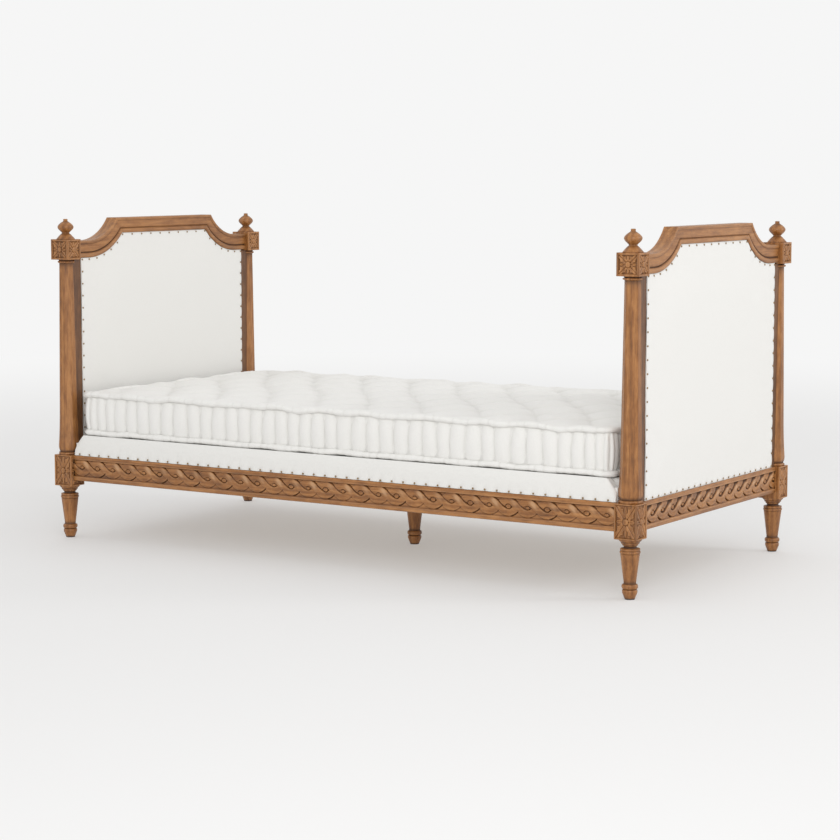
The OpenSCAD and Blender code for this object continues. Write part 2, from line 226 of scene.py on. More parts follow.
def buildGrainGroup():
    # streaks, pores and broad patches along the group's Z axis, between three colours
    group = bpy.data.node_groups.new("woodGrain", "ShaderNodeTree")
    socket(group, "Vector", "Vector", "INPUT")
    for name in ("Dark", "Middle", "Light"):
        socket(group, name, "Color", "INPUT")
    socket(group, "Color", "Color", "OUTPUT")
    socket(group, "Height", "Float", "OUTPUT")
    start, end = group.nodes.new("NodeGroupInput"), group.nodes.new("NodeGroupOutput")
    stretches = {share: addNode(group, "Mapping", Scale=(1, 1, share)) for share in (0.35, 0.05, 0.02)}
    for stretch in stretches.values():
        link(group, start.outputs["Vector"], stretch.inputs["Vector"])

    def noise(share, kind="TexNoise", **values):
        texture = addNode(group, kind, **values)
        link(group, stretches[share].outputs[0], texture.inputs["Vector"])
        return texture.outputs["Fac"]

    patch = noise(0.35, Scale=7.0, Detail=3.0)
    blotch = noise(0.35, Scale=58.0, Detail=5.0, Roughness=0.66)
    line = noise(0.05, Scale=210.0, Detail=6.0, Roughness=0.66, Distortion=0.4)
    rings = noise(0.05, "TexWave", Scale=17.0, Distortion=6.0, Detail=3.0, wave_type="BANDS")
    pore = noise(0.02, Scale=900.0, Detail=2.0)
    tone = maths(group, "MULTIPLY", line, 0.55)
    tone = maths(group, "ADD", tone, maths(group, "MULTIPLY", rings, 0.12))
    tone = maths(group, "ADD", tone, maths(group, "MULTIPLY", patch, 0.32))
    tone = maths(group, "ADD", tone, maths(group, "MULTIPLY", blotch, 0.50))
    tone = maths(group, "SUBTRACT", tone, 0.26)
    darkToMiddle = maths(group, "MULTIPLY", maths(group, "SUBTRACT", tone, 0.24), 4.4, clamp=True)
    middleToLight = maths(group, "MULTIPLY", maths(group, "SUBTRACT", tone, 0.46), 4.4, clamp=True)
    colour = mixColours(group, darkToMiddle, start.outputs["Dark"], start.outputs["Middle"])
    colour = mixColours(group, middleToLight, colour, start.outputs["Light"])
    poreMask = maths(group, "MULTIPLY", maths(group, "SUBTRACT", 0.44, pore), 6.0, clamp=True)
    colour = mixColours(group, maths(group, "MULTIPLY", poreMask, 0.6), colour, start.outputs["Dark"])
    link(group, colour, end.inputs["Color"])
    height = maths(group, "SUBTRACT", maths(group, "MULTIPLY", line, 0.8), poreMask)
    link(group, height, end.inputs["Height"])
    return group


def buildShadingGroup():
    # painted shade in the hollows of the carving, and a painted highlight on its ridges
    group = bpy.data.node_groups.new("paintedShadeAndHighlight", "ShaderNodeTree")
    socket(group, "Color", "Color", "INPUT")
    socket(group, "PaintedShading", "Float", "INPUT")
    socket(group, "Stain", "Color", "INPUT")
    socket(group, "Worn", "Color", "INPUT")
    socket(group, "Color", "Color", "OUTPUT")
    socket(group, "Roughness", "Float", "OUTPUT")
    start, end = group.nodes.new("NodeGroupInput"), group.nodes.new("NodeGroupOutput")
    depth = maths(group, "MULTIPLY", start.outputs["PaintedShading"], 0.93, clamp=True)
    ridge = maths(group, "MULTIPLY", start.outputs["PaintedShading"], -0.8, clamp=True)
    colour = mixColours(group, ridge, start.outputs["Color"], start.outputs["Worn"])
    link(group, mixColours(group, depth, colour, start.outputs["Stain"]), end.inputs["Color"])
    link(group, maths(group, "ADD", maths(group, "MULTIPLY", depth, 0.3), 0.42), end.inputs["Roughness"])
    return group


def buildWeaveGroup():
    # crossing threads: the sum of three sine waves, uneven where a slow noise shifts them
    group = bpy.data.node_groups.new("clothWeave", "ShaderNodeTree")
    socket(group, "Vector", "Vector", "INPUT")
    socket(group, "Threads", "Float", "INPUT")
    socket(group, "Height", "Float", "OUTPUT")
    socket(group, "Slub", "Float", "OUTPUT")
    start, end = group.nodes.new("NodeGroupInput"), group.nodes.new("NodeGroupOutput")
    wobble = addNode(group, "TexNoise", Scale=60.0, Detail=2.0)
    link(group, start.outputs["Vector"], wobble.inputs["Vector"])
    parts = addNode(group, "SeparateXYZ")
    link(group, start.outputs["Vector"], parts.inputs[0])
    total = 0.0
    for axis in range(3):
        phase = maths(group, "MULTIPLY", parts.outputs[axis], start.outputs["Threads"])
        phase = maths(group, "ADD", phase, maths(group, "MULTIPLY", wobble.outputs["Fac"], 3.0))
        total = maths(group, "ADD", maths(group, "SINE", phase), total)
    link(group, total, end.inputs["Height"])
    slub = addNode(group, "TexNoise", Scale=240.0, Detail=3.0, Roughness=0.6)
    link(group, start.outputs["Vector"], slub.inputs["Vector"])
    link(group, slub.outputs["Fac"], end.inputs["Slub"])
    return group


grainGroup, shadingGroup, weaveGroup = buildGrainGroup(), buildShadingGroup(), buildWeaveGroup()
# the dark colour for a carving's hollows is painted shade, and the pale one for its ridges a painted highlight
woodLook = {
    "dark": (0.110, 0.037, 0.007), "middle": (0.290, 0.112, 0.026), "light": (0.470, 0.210, 0.064),
    "stain": (0.050, 0.017, 0.004), "worn": (0.60, 0.36, 0.19), "bump": 0.3, "coat": 0.12,
}
boardLook = {
    "dark": (0.33, 0.21, 0.11), "middle": (0.56, 0.40, 0.23), "light": (0.70, 0.55, 0.36),
    "stain": (0.2, 0.12, 0.06), "worn": (0.75, 0.6, 0.4), "bump": 0.15, "coat": 0.0,
}
grainTurn = {"X": (0, math.pi / 2, 0), "Y": (math.pi / 2, 0, 0), "Z": (0, 0, 0)}


def newMaterial(name):
    material = bpy.data.materials.new(name)
    material.use_nodes = True
    tree = material.node_tree
    return material, tree, tree.nodes["Principled BSDF"]


def groupNode(tree, group):
    node = tree.nodes.new("ShaderNodeGroup")
    node.node_tree = group
    return node


def woodMaterial(name, axis, look):
    material, tree, shader = newMaterial(name)
    place = addNode(tree, "TexCoord")
    turn = addNode(tree, "Mapping", Rotation=grainTurn[axis])
    grain, shadingNode = groupNode(tree, grainGroup), groupNode(tree, shadingGroup)
    hollow = tree.nodes.new("ShaderNodeAttribute")
    hollow.attribute_name = "hollow"
    bump = addNode(tree, "Bump", Strength=look["bump"], Distance=0.0006)
    for socketName, key in (("Dark", "dark"), ("Middle", "middle"), ("Light", "light")):
        grain.inputs[socketName].default_value = (*look[key], 1)
    shadingNode.inputs["Stain"].default_value = (*look["stain"], 1)
    shadingNode.inputs["Worn"].default_value = (*look["worn"], 1)
    link(tree, place.outputs["Object"], turn.inputs["Vector"])
    link(tree, turn.outputs[0], grain.inputs["Vector"])
    link(tree, grain.outputs["Color"], shadingNode.inputs["Color"])
    link(tree, hollow.outputs["Fac"], shadingNode.inputs["PaintedShading"])
    link(tree, grain.outputs["Height"], bump.inputs["Height"])
    link(tree, shadingNode.outputs["Color"], shader.inputs["Base Color"])
    link(tree, shadingNode.outputs["Roughness"], shader.inputs["Roughness"])
    link(tree, bump.outputs["Normal"], shader.inputs["Normal"])
    shader.inputs["Coat Weight"].default_value = look["coat"]
    shader.inputs["Coat Roughness"].default_value = 0.35
    return material


def clothMaterial(name, colour, shade, threads, bumpStrength):
    material, tree, shader = newMaterial(name)
    place = addNode(tree, "TexCoord")
    weave = groupNode(tree, weaveGroup)
    weave.inputs["Threads"].default_value = threads
    bump = addNode(tree, "Bump", Strength=bumpStrength, Distance=0.0004)
    hollow = tree.nodes.new("ShaderNodeAttribute")
    hollow.attribute_name = "hollow"
    link(tree, place.outputs["Object"], weave.inputs["Vector"])
    tone = maths(tree, "MULTIPLY", maths(tree, "SUBTRACT", weave.outputs["Slub"], 0.45), 0.35, clamp=True)
    # the painted shading attribute darkens the cloth towards its shade colour: painted shade in seams, tufts,
    # dents and edges
    tone = maths(tree, "ADD", tone, maths(tree, "MULTIPLY", hollow.outputs["Fac"], 0.75), clamp=True)
    link(tree, mixColours(tree, tone, colour, shade), shader.inputs["Base Color"])
    link(tree, weave.outputs["Height"], bump.inputs["Height"])
    link(tree, bump.outputs["Normal"], shader.inputs["Normal"])
    shader.inputs["Roughness"].default_value = 0.9
    shader.inputs["Sheen Weight"].default_value = 0.25
    shader.inputs["Sheen Roughness"].default_value = 0.5
    return material


def metalMaterial(name, colour, worn, roughness):
    material, tree, shader = newMaterial(name)
    place = addNode(tree, "TexCoord")
    wear = addNode(tree, "TexNoise", Scale=160.0, Detail=4.0)
    link(tree, place.outputs["Object"], wear.inputs["Vector"])
    link(tree, mixColours(tree, wear.outputs["Fac"], colour, worn), shader.inputs["Base Color"])
    rough = maths(tree, "ADD", maths(tree, "MULTIPLY", wear.outputs["Fac"], 0.25), roughness)
    link(tree, rough, shader.inputs["Roughness"])
    shader.inputs["Metallic"].default_value = 1.0
    return material


def plasticMaterial(name, colour):
    material, tree, shader = newMaterial(name)
    place = addNode(tree, "TexCoord")
    fleck = addNode(tree, "TexNoise", Scale=700.0, Detail=2.0)
    bump = addNode(tree, "Bump", Strength=0.1, Distance=0.0003)
    link(tree, place.outputs["Object"], fleck.inputs["Vector"])
    link(tree, mixColours(tree, fleck.outputs["Fac"], colour, tuple(c * 1.6 for c in colour)),
         shader.inputs["Base Color"])
    link(tree, fleck.outputs["Fac"], bump.inputs["Height"])
    link(tree, bump.outputs["Normal"], shader.inputs["Normal"])
    shader.inputs["Roughness"].default_value = 0.55
    return material


# the stiles get a darker wood: painted shade for the shadow in the recess between each column and the panel
stileShadeLook = {
    "dark": (0.045, 0.017, 0.005), "middle": (0.125, 0.049, 0.015), "light": (0.210, 0.092, 0.031),
    "stain": (0.02, 0.008, 0.003), "worn": (0.2, 0.1, 0.04), "bump": 0.3, "coat": 0.1,
}
wood = {axis: woodMaterial("carvedWood" + axis, axis, woodLook) for axis in "XYZ"}
stilePaintedShade = woodMaterial("stilePaintedShade", "Z", stileShadeLook)
board = {axis: woodMaterial("plainBoard" + axis, axis, boardLook) for axis in "XYZ"}
linen = clothMaterial("panelLinen", (0.84, 0.83, 0.80), (0.66, 0.64, 0.60), 2 * math.pi / 0.0011, 0.35)
ticking = clothMaterial("mattressTicking", (0.86, 0.85, 0.82), (0.62, 0.60, 0.56), 2 * math.pi / 0.0009, 0.3)
brass = metalMaterial("agedNailBrass", (0.20, 0.13, 0.065), (0.45, 0.31, 0.16), 0.32)
steel = metalMaterial("zincSteel", (0.55, 0.56, 0.58), (0.36, 0.36, 0.37), 0.3)
nylon = plasticMaterial("glideNylon", (0.03, 0.028, 0.025))
print("materials made")

# turned work: a profile of radius and height carried round an axis

def swelling(radius, out, low, high, count=10):  # half-round bead (out > 0) or cove (out < 0)
    turn = np.linspace(0, math.pi, count)
    return np.stack([radius + out * np.sin(turn), low + (high - low) * (1 - np.cos(turn)) / 2], -1)


def spaced(points, step):  # the same outline with points added where it runs straight
    points = np.asarray(points, float)
    out = [points[:1]]
    for a, b in zip(points[:-1], points[1:]):
        count = max(1, int(np.linalg.norm(b - a) / step))
        out.append(a + (b - a) * np.linspace(0, 1, count + 1)[1:, None])
    return np.concatenate(out)


def turned(profile, x, y, segments=64, step=3.0):
    # point(row, angle) = (x + r cos, y + r sin, z); creases of the profile get painted shade
    profile = spaced(profile, step)
    angle = np.linspace(0, 2 * math.pi, segments, endpoint=False)
    radius, height = profile[:, 0][:, None], profile[:, 1][:, None]
    rings = np.stack([x + radius * np.cos(angle), y + radius * np.sin(angle), height + 0 * angle], -1)
    crease = np.clip((blur(profile[:, :1], 6) - profile[:, :1]) / 1.6, 0, 1)
    return tube(rings, crease + 0 * angle[None])


def smoothLine(points, count):  # a curve through the points, in cubic pieces that share their slopes
    points = np.asarray(points, float)
    held = np.concatenate([points[:1], points, points[-1:]])
    place = np.linspace(0, len(points) - 1 - 1e-9, count)
    k = place.astype(int)
    f = (place - k)[:, None]
    p0, p1, p2, p3 = (held[k + n] for n in range(4))
    return p1 + 0.5 * f * (p2 - p0 + f * (2 * p0 - 5 * p1 + 4 * p2 - p3 + f * (3 * (p1 - p2) + p3 - p0)))


legLook = {
    "height": 168, "foot": 14.8, "bulb": 21.2, "ring": 22.8, "ankle": 17.3, "knee": 28.9, "neck": 17.5,
}


def legProfile(base):
    look, top = legLook, legLook["height"]
    neck = look["neck"]
    return np.concatenate([
        [[look["foot"] - 1.2, base], [look["foot"], base + 1.2]],
        [[look["bulb"] - 1.2, 16], [look["bulb"], 19.5]],
        [[look["bulb"] + 0.1, 25], [look["bulb"] - 1.0, 27], [look["bulb"] - 3.4, 28.6]],
        swelling(look["ring"] - 2.6, 2.6, 30, 42),
        [[look["ankle"] + 0.4, 43.6], [look["ankle"], 47]],
        [[look["knee"] - 1.9, 126], [look["knee"] - 2.9, 127.5]],
        swelling(look["knee"] - 2, 2, 128, 135, 8),
        swelling(look["knee"] - 2.6, 1.6, 136, 142, 8),
        [[neck + 1.2, 143.6], [neck, 146], [neck + 0.4, 148.2], [neck + 4.0, 150.4], [neck + 4.6, 152]],
        [[neck + 4.2, 153.6], [neck + 7.8, 155.6], [neck + 8.4, 157.4], [neck + 8.1, 159], [30.6, 163.2]],
        [[31.6, 164.6], [31.8, top + 0.5]],
    ])


finialLook = {"base": 28.7, "neck": 11.8, "bulb": 25.0, "knob": 6.9}


def finialProfile():
    look, base, top = finialLook, upBlockTop, postTop
    bulb, neck = look["bulb"], look["neck"]
    curve = smoothLine([[26.6, 4.2], [23, 8.4], [16.4, 15.2], [neck + 0.5, 18.6], [neck, 20.4],
                        [neck + 1.4, 22.4], [bulb * 0.70, 26.6], [bulb * 0.905, 31.8], [bulb, 36.8],
                        [bulb * 0.995, 40.2], [bulb * 0.895, 45], [bulb * 0.62, 51.4], [9.6, 55.2],
                        [7.0, 57.2]], 46)
    return np.concatenate([
        [[look["base"] - 0.9, base], [look["base"], base + 0.9], [look["base"] - 0.1, base + 2.4]],
        curve + (0, base),
        [[look["knob"] - 0.4, base + 58], [look["knob"], base + 59.2], [look["knob"], top - 1.4]],
        [[look["knob"] - 0.8, top - 0.4], [look["knob"] - 2.4, top]],
    ])


# posts: turned foot, carved blocks and an eight-sided column

columnLook = {"base": 32.0, "flare": 31.6, "top": 21.0, "collar": 26.0, "bevel": 0.9}


def columnRings(x, y):
    # the ring at height z has eight flats at distance half(z); each corner is eased by a small bevel
    look, low, high = columnLook, lowBlockTop, upBlockLow
    steps = np.concatenate([
        [[look["base"] - 0.8, low - 1], [look["base"] - 0.2, low + 0.6]],
        swelling(look["base"] - 2.2, 2.0, low + 1, low + 8, 8),
        [[look["base"] - 4.2, low + 9.4], [look["base"] - 3.4, low + 12]],
        [[look["flare"] - 0.6, low + 19], [look["flare"], low + 26], [look["flare"] - 0.5, low + 36]],
        [[29.6, low + 60], [28.4, low + 88], [27.4, low + 122], [look["top"] + 0.2, high - 24]],
        [[look["top"], high - 12], [look["top"] + 1.6, high - 10.5]],
        swelling(look["collar"] - 1.6, 1.6, high - 10, high - 5, 6),
        [[look["top"] + 0.6, high - 4], [look["top"] + 1.2, high - 2.4], [look["collar"] - 0.6, high + 0.5]],
    ])
    steps = spaced(steps, 9.0)
    half, height = steps[:, 0], steps[:, 1]
    flats = np.arange(8) * math.pi / 4
    normal = np.stack([np.cos(flats), np.sin(flats)], -1)
    along = np.stack([-np.sin(flats), np.cos(flats)], -1)
    reach = half[:, None] * math.tan(math.pi / 8) - look["bevel"]
    across = np.concatenate([reach * t for t in (-1, -0.35, 0.35, 1)], -1)
    flatPoints = half[:, None, None, None] * normal[None, :, None]
    flatPoints = flatPoints + across[:, None, :, None] * along[None, :, None]
    cornerAngle = flats + math.pi / 8
    cornerReach = half[:, None] / math.cos(math.pi / 8) - look["bevel"] * 0.62
    cornerPoints = cornerReach[..., None] * np.stack([np.cos(cornerAngle), np.sin(cornerAngle)], -1)[None]
    ring = np.concatenate([flatPoints, cornerPoints[:, :, None]], 2).reshape(len(half), -1, 2)
    rings = np.concatenate([ring + (x, y), np.broadcast_to(height[:, None, None], (*ring.shape[:2], 1))], -1)
    # creases of the column get painted shade
    crease = np.clip((blur(half[:, None], 3) - half[:, None]) / 1.2, 0, 1)
    return tube(rings, crease + np.zeros((1, ring.shape[1])))


leafLook = {
    "frameUp": 5.5, "frameLow": 3.6, "field": 4.6, "leaf": 4.0, "width": 0.30, "bud": 0.15, "boss": 0.19,
    "cut": 1.5,
}


def leafStar(s, z, halfWide, halfHigh, frame):
    # depth below the face: four toothed leaves reach from a domed boss to the corners of a sunk field, with a
    # narrow bud between each two; p runs out along a leaf and q across it
    look = leafLook
    toEdge = np.minimum(halfWide - np.abs(s), halfHigh - np.abs(z))
    sunk = look["field"] * smoothStep(toEdge, frame - 0.4, frame + 1.2)
    u, v = np.abs(s) / (halfWide - frame), np.abs(z) / (halfHigh - frame)
    p, q = (u + v) / 2, (v - u) / 2
    tooth = 1 - 0.30 * np.abs(np.sin(3.5 * math.pi * p + 0.4))
    wide = look["width"] * np.sin(math.pi * np.clip(p * 0.93 + 0.06, 0, 1)) ** 0.75 * tooth
    body = smoothStep(wide - np.abs(q), 0, 0.055) * (p < 1.02)
    share = np.clip(np.abs(q) / np.maximum(wide, 0.02), 0, 1)
    rib = np.exp(-(q / 0.022) ** 2)
    veins = np.abs(np.sin(math.pi * (4.2 * p - 2.6 * np.abs(q) / look["width"] * 0.8))) ** 0.7
    raised = body * look["leaf"] * (0.50 + 0.35 * share + 0.22 * veins * share - 0.42 * rib)
    budWide = look["bud"] * np.sin(math.pi * np.clip((v - 0.24) / 0.74, 0, 1)) ** 0.8
    bud = smoothStep(budWide - u, 0, 0.05) * look["leaf"] * (0.74 - 0.3 * np.exp(-(u / 0.02) ** 2))
    sideWide = look["bud"] * np.sin(math.pi * np.clip((u - 0.24) / 0.74, 0, 1)) ** 0.8
    side = smoothStep(sideWide - v, 0, 0.05) * look["leaf"] * (0.70 - 0.3 * np.exp(-(v / 0.02) ** 2))
    raised = np.maximum(raised, np.maximum(bud, side))
    far = np.hypot(s, z) / (min(halfWide, halfHigh) * look["boss"] / 0.8)
    ditch = look["cut"] * np.exp(-((far - 1.18) / 0.16) ** 2)
    boss = look["leaf"] * (0.75 + 0.45 * np.sqrt(np.clip(1 - far ** 2, 0, 1)))
    raised = np.where(far < 1, boss, raised - ditch)
    inside = smoothStep(toEdge, frame - 0.5, frame + 1)
    return np.clip(sunk - raised * inside, -0.1, look["field"] + 1.2)


def upperCarving(s, z, halfWide, halfHigh):
    return leafStar(s, z, halfWide, halfHigh, leafLook["frameUp"])


def lowerCarving(s, z, halfWide, halfHigh):
    return leafStar(s, z, halfWide, halfHigh, leafLook["frameLow"])


def carvedBlock(x, y, low, high, carving, plainSide, step=1.0):
    # a ring round the block at each height; each of its four faces is pushed in by the carving's depth
    height = np.arange(low, high + step / 2, step)
    height = np.concatenate([[low], height[1:-1], [high]])
    middle, halfHigh = (low + high) / 2, (high - low) / 2
    points, blockShading = [], []
    for k, (half, wide) in enumerate(((blockHalfX, blockHalfY), (blockHalfY, blockHalfX)) * 2):
        normal = np.array([[1, 0], [0, 1], [-1, 0], [0, -1]])[k]
        along = np.array([-normal[1], normal[0]])
        s = np.linspace(-wide, wide, int(2 * wide / step) + 1)[:-1]
        sGrid, zGrid = np.meshgrid(s, height - middle)
        depth = carving(sGrid, zGrid, wide, halfHigh) if k != plainSide else 0 * sGrid
        # painted shade in the carving's hollows and deepest cuts, painted highlight on its ridges
        blockShading.append(0.8 * carvedTone(-depth, 4, 2.4) + 0.22 * smoothStep(depth, 2.4, 4.4))
        eased = 0.9 * (1 - smoothStep(np.minimum(wide - np.abs(sGrid), halfHigh - np.abs(zGrid)), 0, 1.4))
        out = half - depth - eased
        side = sGrid * (1 - 0.9 / wide)
        points.append(out[..., None] * normal + side[..., None] * along)
    ring = np.concatenate(points, 1) + (x, y)
    rings = np.concatenate([ring, np.broadcast_to(height[:, None, None], (*ring.shape[:2], 1))], -1)
    return tube(rings, np.clip(np.concatenate(blockShading, 1), -0.6, 1))


postTop = boxOf("finial_foot_front")[1][2]
glideTop = postLow[2]
for place, (end, face) in corners.items():
    x, y = end * postX, face * postY
    joined = 3 if face > 0 else 1  # the side that the crest and end rail meet
    post = makePiece("post" + place, [
        turned(legProfile(glideTop), x, y),
        carvedBlock(x, y, legLook["height"], lowBlockTop, lowerCarving, joined),
        columnRings(x, y),
        carvedBlock(x, y, upBlockLow, upBlockTop, upperCarving, joined),
    ], wood["Z"])
    standFor(post, "frame", "carved_wood", cadName("post", place))
    finial = makePiece("finial" + place, [turned(finialProfile(), x, y, step=2.0)], wood["Z"])
    standFor(finial, "frame", "carved_wood", cadName("finial", place))
print("posts and finials made")

# centre leg

legBlock = {"half": 30.0, "ease": 1.2}


def squareRings(x, y, half, low, high, ease):  # a small block with eased edges
    level = np.array([low, low + ease * 0.3, low + ease, high - ease, high - ease * 0.3, high])
    shrink = np.array([ease, ease * 0.3, 0, 0, ease * 0.3, ease])
    turn = (np.arange(16) // 4) * math.pi / 2 + np.tile([0, 0.3, 0.7, 1.0], 4) * math.pi / 2
    corner = half - ease
    cornerX = np.repeat([1, -1, -1, 1], 4) * corner
    cornerY = np.repeat([1, 1, -1, -1], 4) * corner
    ring = [np.stack([x + cornerX + (ease - cut) * np.cos(turn), y + cornerY + (ease - cut) * np.sin(turn),
                      np.full(16, z)], -1) for z, cut in zip(level, shrink)]
    return tube(np.array(ring))


centreTop = boxOf("centre_leg")[1][2]
centreLeg = makePiece("centreLeg", [
    turned(legProfile(glideTop), 0, 0),
    squareRings(0, 0, legBlock["half"], legLook["height"], centreTop, legBlock["ease"]),
], wood["Z"])
standFor(centreLeg, "frame", "carved_wood", "centre_leg")

# carved rails: two ribbons that cross in a running twist, with an eye in each loop

railLook = {
    "period": 125.4, "swing": 16.4, "ribbon": 10.8, "fillet": 13.0, "bead": 14.0, "field": 4.8, "lift": 2.0,
    "eye": 8.0, "smallEye": 6.2, "cut": 3.4, "step": 1.5,
}


def twist(x, z, even):
    # height over the sunk ground, and its painted shade: cuts, slits, eye rings and eye centres are darker as
    # painted shade, and each falling ribbon's shoulder gets a painted highlight. Each ribbon swings between top
    # and bottom; where it falls it lies on the other one, and a cut along its upper edge curls under the eye
    # that follows. The eyes are big and small by turns. On the ends (even = 1) both are cut alike, and wider.
    look = railLook
    height, cut, worn = np.full_like(x, 0.7), np.zeros_like(x), np.zeros_like(x)
    for turn, eye, bold in ((0, look["eye"], 1.0), (1, look["smallEye"], 0.4 + 0.45 * even)):
        reach = np.mod(x - turn * look["period"] / 2 + 83.6, look["period"]) - 83.6
        phase = 2 * math.pi * reach / look["period"]
        slope = look["swing"] * 2 * math.pi / look["period"] * np.sin(phase)
        away = (z + look["swing"] * np.cos(phase)) / np.sqrt(1 + slope ** 2)
        share = np.abs(away) / look["ribbon"]
        falling = smoothStep(-slope, -0.25, 0.5)
        crown = np.sqrt(np.clip(1 - share ** 3, 0, 1))
        thread = 0.35 * np.exp(-((np.abs(away) - 6.2) / 0.8) ** 2)
        level = 1.3 + 1.5 * falling + 0.5 * falling * away / look["ribbon"] - thread
        level = smoothStep(1 - share, 0, 0.12) * level
        height = np.maximum(height, level + 1.2 * crown)
        top = 1 - smoothStep(reach, -46, -27)
        run = smoothStep(reach, -56, -48) * (1 - smoothStep(reach, 7, 16))
        breadth = 1.25 + (1.0 - bold) * 1.6 * top + even * (1.6 + 4.6 * top)
        line = np.exp(-((away - look["ribbon"] - 0.3) / breadth) ** 2) * run * (bold + (1 - bold) * top)
        slit = np.exp(-((away + look["ribbon"] + 0.6) / 1.5) ** 2) * smoothStep(reach, 6, 14)
        slit = slit * (1 - smoothStep(reach, 30, 38)) * (bold - 0.15)
        line, slit = np.minimum(1, line * (1 + even)), np.minimum(1, slit * (1 + even))
        far = np.hypot((reach - 1.5) / eye, (z - 0.4) / (eye * 0.78))
        ring = np.exp(-((far - 1.12) / 0.17) ** 2) * (0.35 + 0.65 * bold) * (0.6 + 0.4 * smoothStep(-z, -3, 3))
        dome = 2.2 + 2.0 * np.sqrt(np.clip(1 - far ** 2, 0, 1))
        height = np.where(far < 1, dome, height)
        line, slit = line * (far > 1), slit * (far > 1)
        cut = np.maximum(cut, np.maximum(np.maximum(line, slit), ring))
        # painted highlight on the shoulder of each falling ribbon
        worn = np.maximum(worn, bold * np.exp(-((reach + 42) / 10) ** 2 - ((away - 2) / 6) ** 2))
        # painted shade on each eye's centre
        cut = np.maximum(cut, 0.22 * (far < 1))
    return height - look["cut"] * (1 + 0.8 * even) * cut, (1.15 + 0.3 * even) * cut - 1.2 * worn


def railCarving(x, z, high, lean, even):
    # depth below the rail's face, and its painted shade and highlight: a top fillet and a bottom bead, the
    # twist sunk between them
    look = railLook
    top, bottom = high / 2 - look["fillet"], -high / 2 + look["bead"]
    local, halfField = z - (top + bottom) / 2, (top - bottom) / 2
    height, tone = twist(x * lean, local - look["lift"], even)
    field = smoothStep(halfField - np.abs(local), 0.0, 1.6)
    depth = field * (look["field"] + 0.8 - np.minimum(height, look["field"] + 0.6))
    beadLine = (z + high / 2 - look["bead"] / 2) / (look["bead"] / 2)
    beadRound = 1.8 * (1 - np.sqrt(np.clip(1 - beadLine ** 2 * 0.96, 0, 1)))
    depth = np.where(z < bottom, beadRound, depth)
    quirk = np.exp(-((z - top + 0.4) / 0.8) ** 2) + np.exp(-((z - bottom - 0.2) / 0.9) ** 2)
    depth = depth + 1.3 * quirk
    # painted shade in the quirks and the relief's hollows, painted highlight on its ridges
    stain = field * tone + 0.45 * quirk + 0.85 * carvedTone(-depth, 4, 2.2)
    return depth, np.clip(stain, -0.8, 1)


def carvedRail(name, lengthAxis, face, back, low, high, halfLength, outward, material, node):
    # a closed ring at each place along the rail: carved face, then top, back and underside
    step = railLook["step"]
    count = int(2 * halfLength / step) + 1
    along = np.linspace(-halfLength, halfLength, count)
    height = np.linspace(low, high, int((high - low) / step) + 1)
    ease = 1.4 * (1 - smoothStep(np.minimum(height - low, high - height), 0, 1.6))
    a, z = np.meshgrid(along, height - (low + high) / 2, indexing="ij")
    depth, stain = railCarving(a, z, high - low, -outward, float(lengthAxis == "Y"))
    out = face - depth - ease[None]
    corner = np.array([[back + 0.5, high], [back, high - 0.5], [back, low + 0.5], [back + 0.5, low]])
    outPart = np.concatenate([out, np.broadcast_to(corner[:, 0], (count, 4))], 1)
    zPart = np.concatenate([z + (low + high) / 2, np.broadcast_to(corner[:, 1], (count, 4))], 1)
    aPart = np.broadcast_to(along[:, None], outPart.shape)
    stain = np.concatenate([stain, np.zeros((count, 4))], 1)
    if lengthAxis == "X":
        rings = np.stack([aPart, outward * outPart, zPart], -1)
    else:
        rings = np.stack([outward * outPart, aPart, zPart], -1)
    piece = makePiece(name, [tube(rings, stain)], material, sharpAngle=40)
    return standFor(piece, "frame", "carved_wood", node)


railFace, railBack = -railLow[1], -railHigh[1]
endLow, endHigh = boxOf("end_rail_foot")
for label, outward in (("Front", -1), ("Back", 1)):
    carvedRail("sideRail" + label, "X", railFace, railBack, railLow[2], railHigh[2], innerX, outward,
               wood["X"], cadName("side_rail", label))
for label, outward in (("Head", -1), ("Foot", 1)):
    carvedRail("endRail" + label, "Y", endHigh[0], endLow[0], endLow[2], endHigh[2], innerY, outward,
               wood["Y"], cadName("end_rail", label))
print("carved rails made")

# crest rails: the section is carried along the scooped outline, level - scoop - level, from post to post

crestLook = {
    "levelHalf": 250, "scoopY": 385, "scoopZ": 1111, "levelDepth": 49, "band": 54,
    "half": 22.0, "field": 2.6, "bead": 0.8, "step": 4.0,
}
crestTop = boxOf("crest_rail_foot")[1][2]
scoopRadius = math.hypot(crestLook["scoopY"] - crestLook["levelHalf"], crestLook["scoopZ"] - crestTop)
lowRadius = scoopRadius + crestLook["band"]


def crestEdge(radius, top, count):
    # half of an edge, from the middle out to the post: a level run, the scoop's arc down, then level again
    look = crestLook
    turn = math.acos((look["scoopZ"] - top) / radius)
    endLevel = look["scoopY"] - radius * math.sin(turn)
    level = np.stack([np.linspace(0, endLevel, count[0] + 1)[:-1], np.full(count[0], top)], -1)
    sweep = np.linspace(turn, 0, count[1] + 1)[:-1]
    arc = np.stack([look["scoopY"] - radius * np.sin(sweep), look["scoopZ"] - radius * np.cos(sweep)], -1)
    last = np.linspace(look["scoopY"], innerY, count[2] + 1)
    return np.concatenate([level, arc, np.stack([last, np.full(count[2] + 1, look["scoopZ"] - radius)], -1)])


def crestLowEdge(y):  # height of the crest's underside at a distance y from the middle
    turn = math.acos((crestLook["scoopZ"] - crestTop + crestLook["levelDepth"]) / lowRadius)
    inScoop = np.clip(crestLook["scoopY"] - np.abs(y), 0, lowRadius * math.sin(turn))
    return crestLook["scoopZ"] - np.sqrt(lowRadius ** 2 - inScoop ** 2)


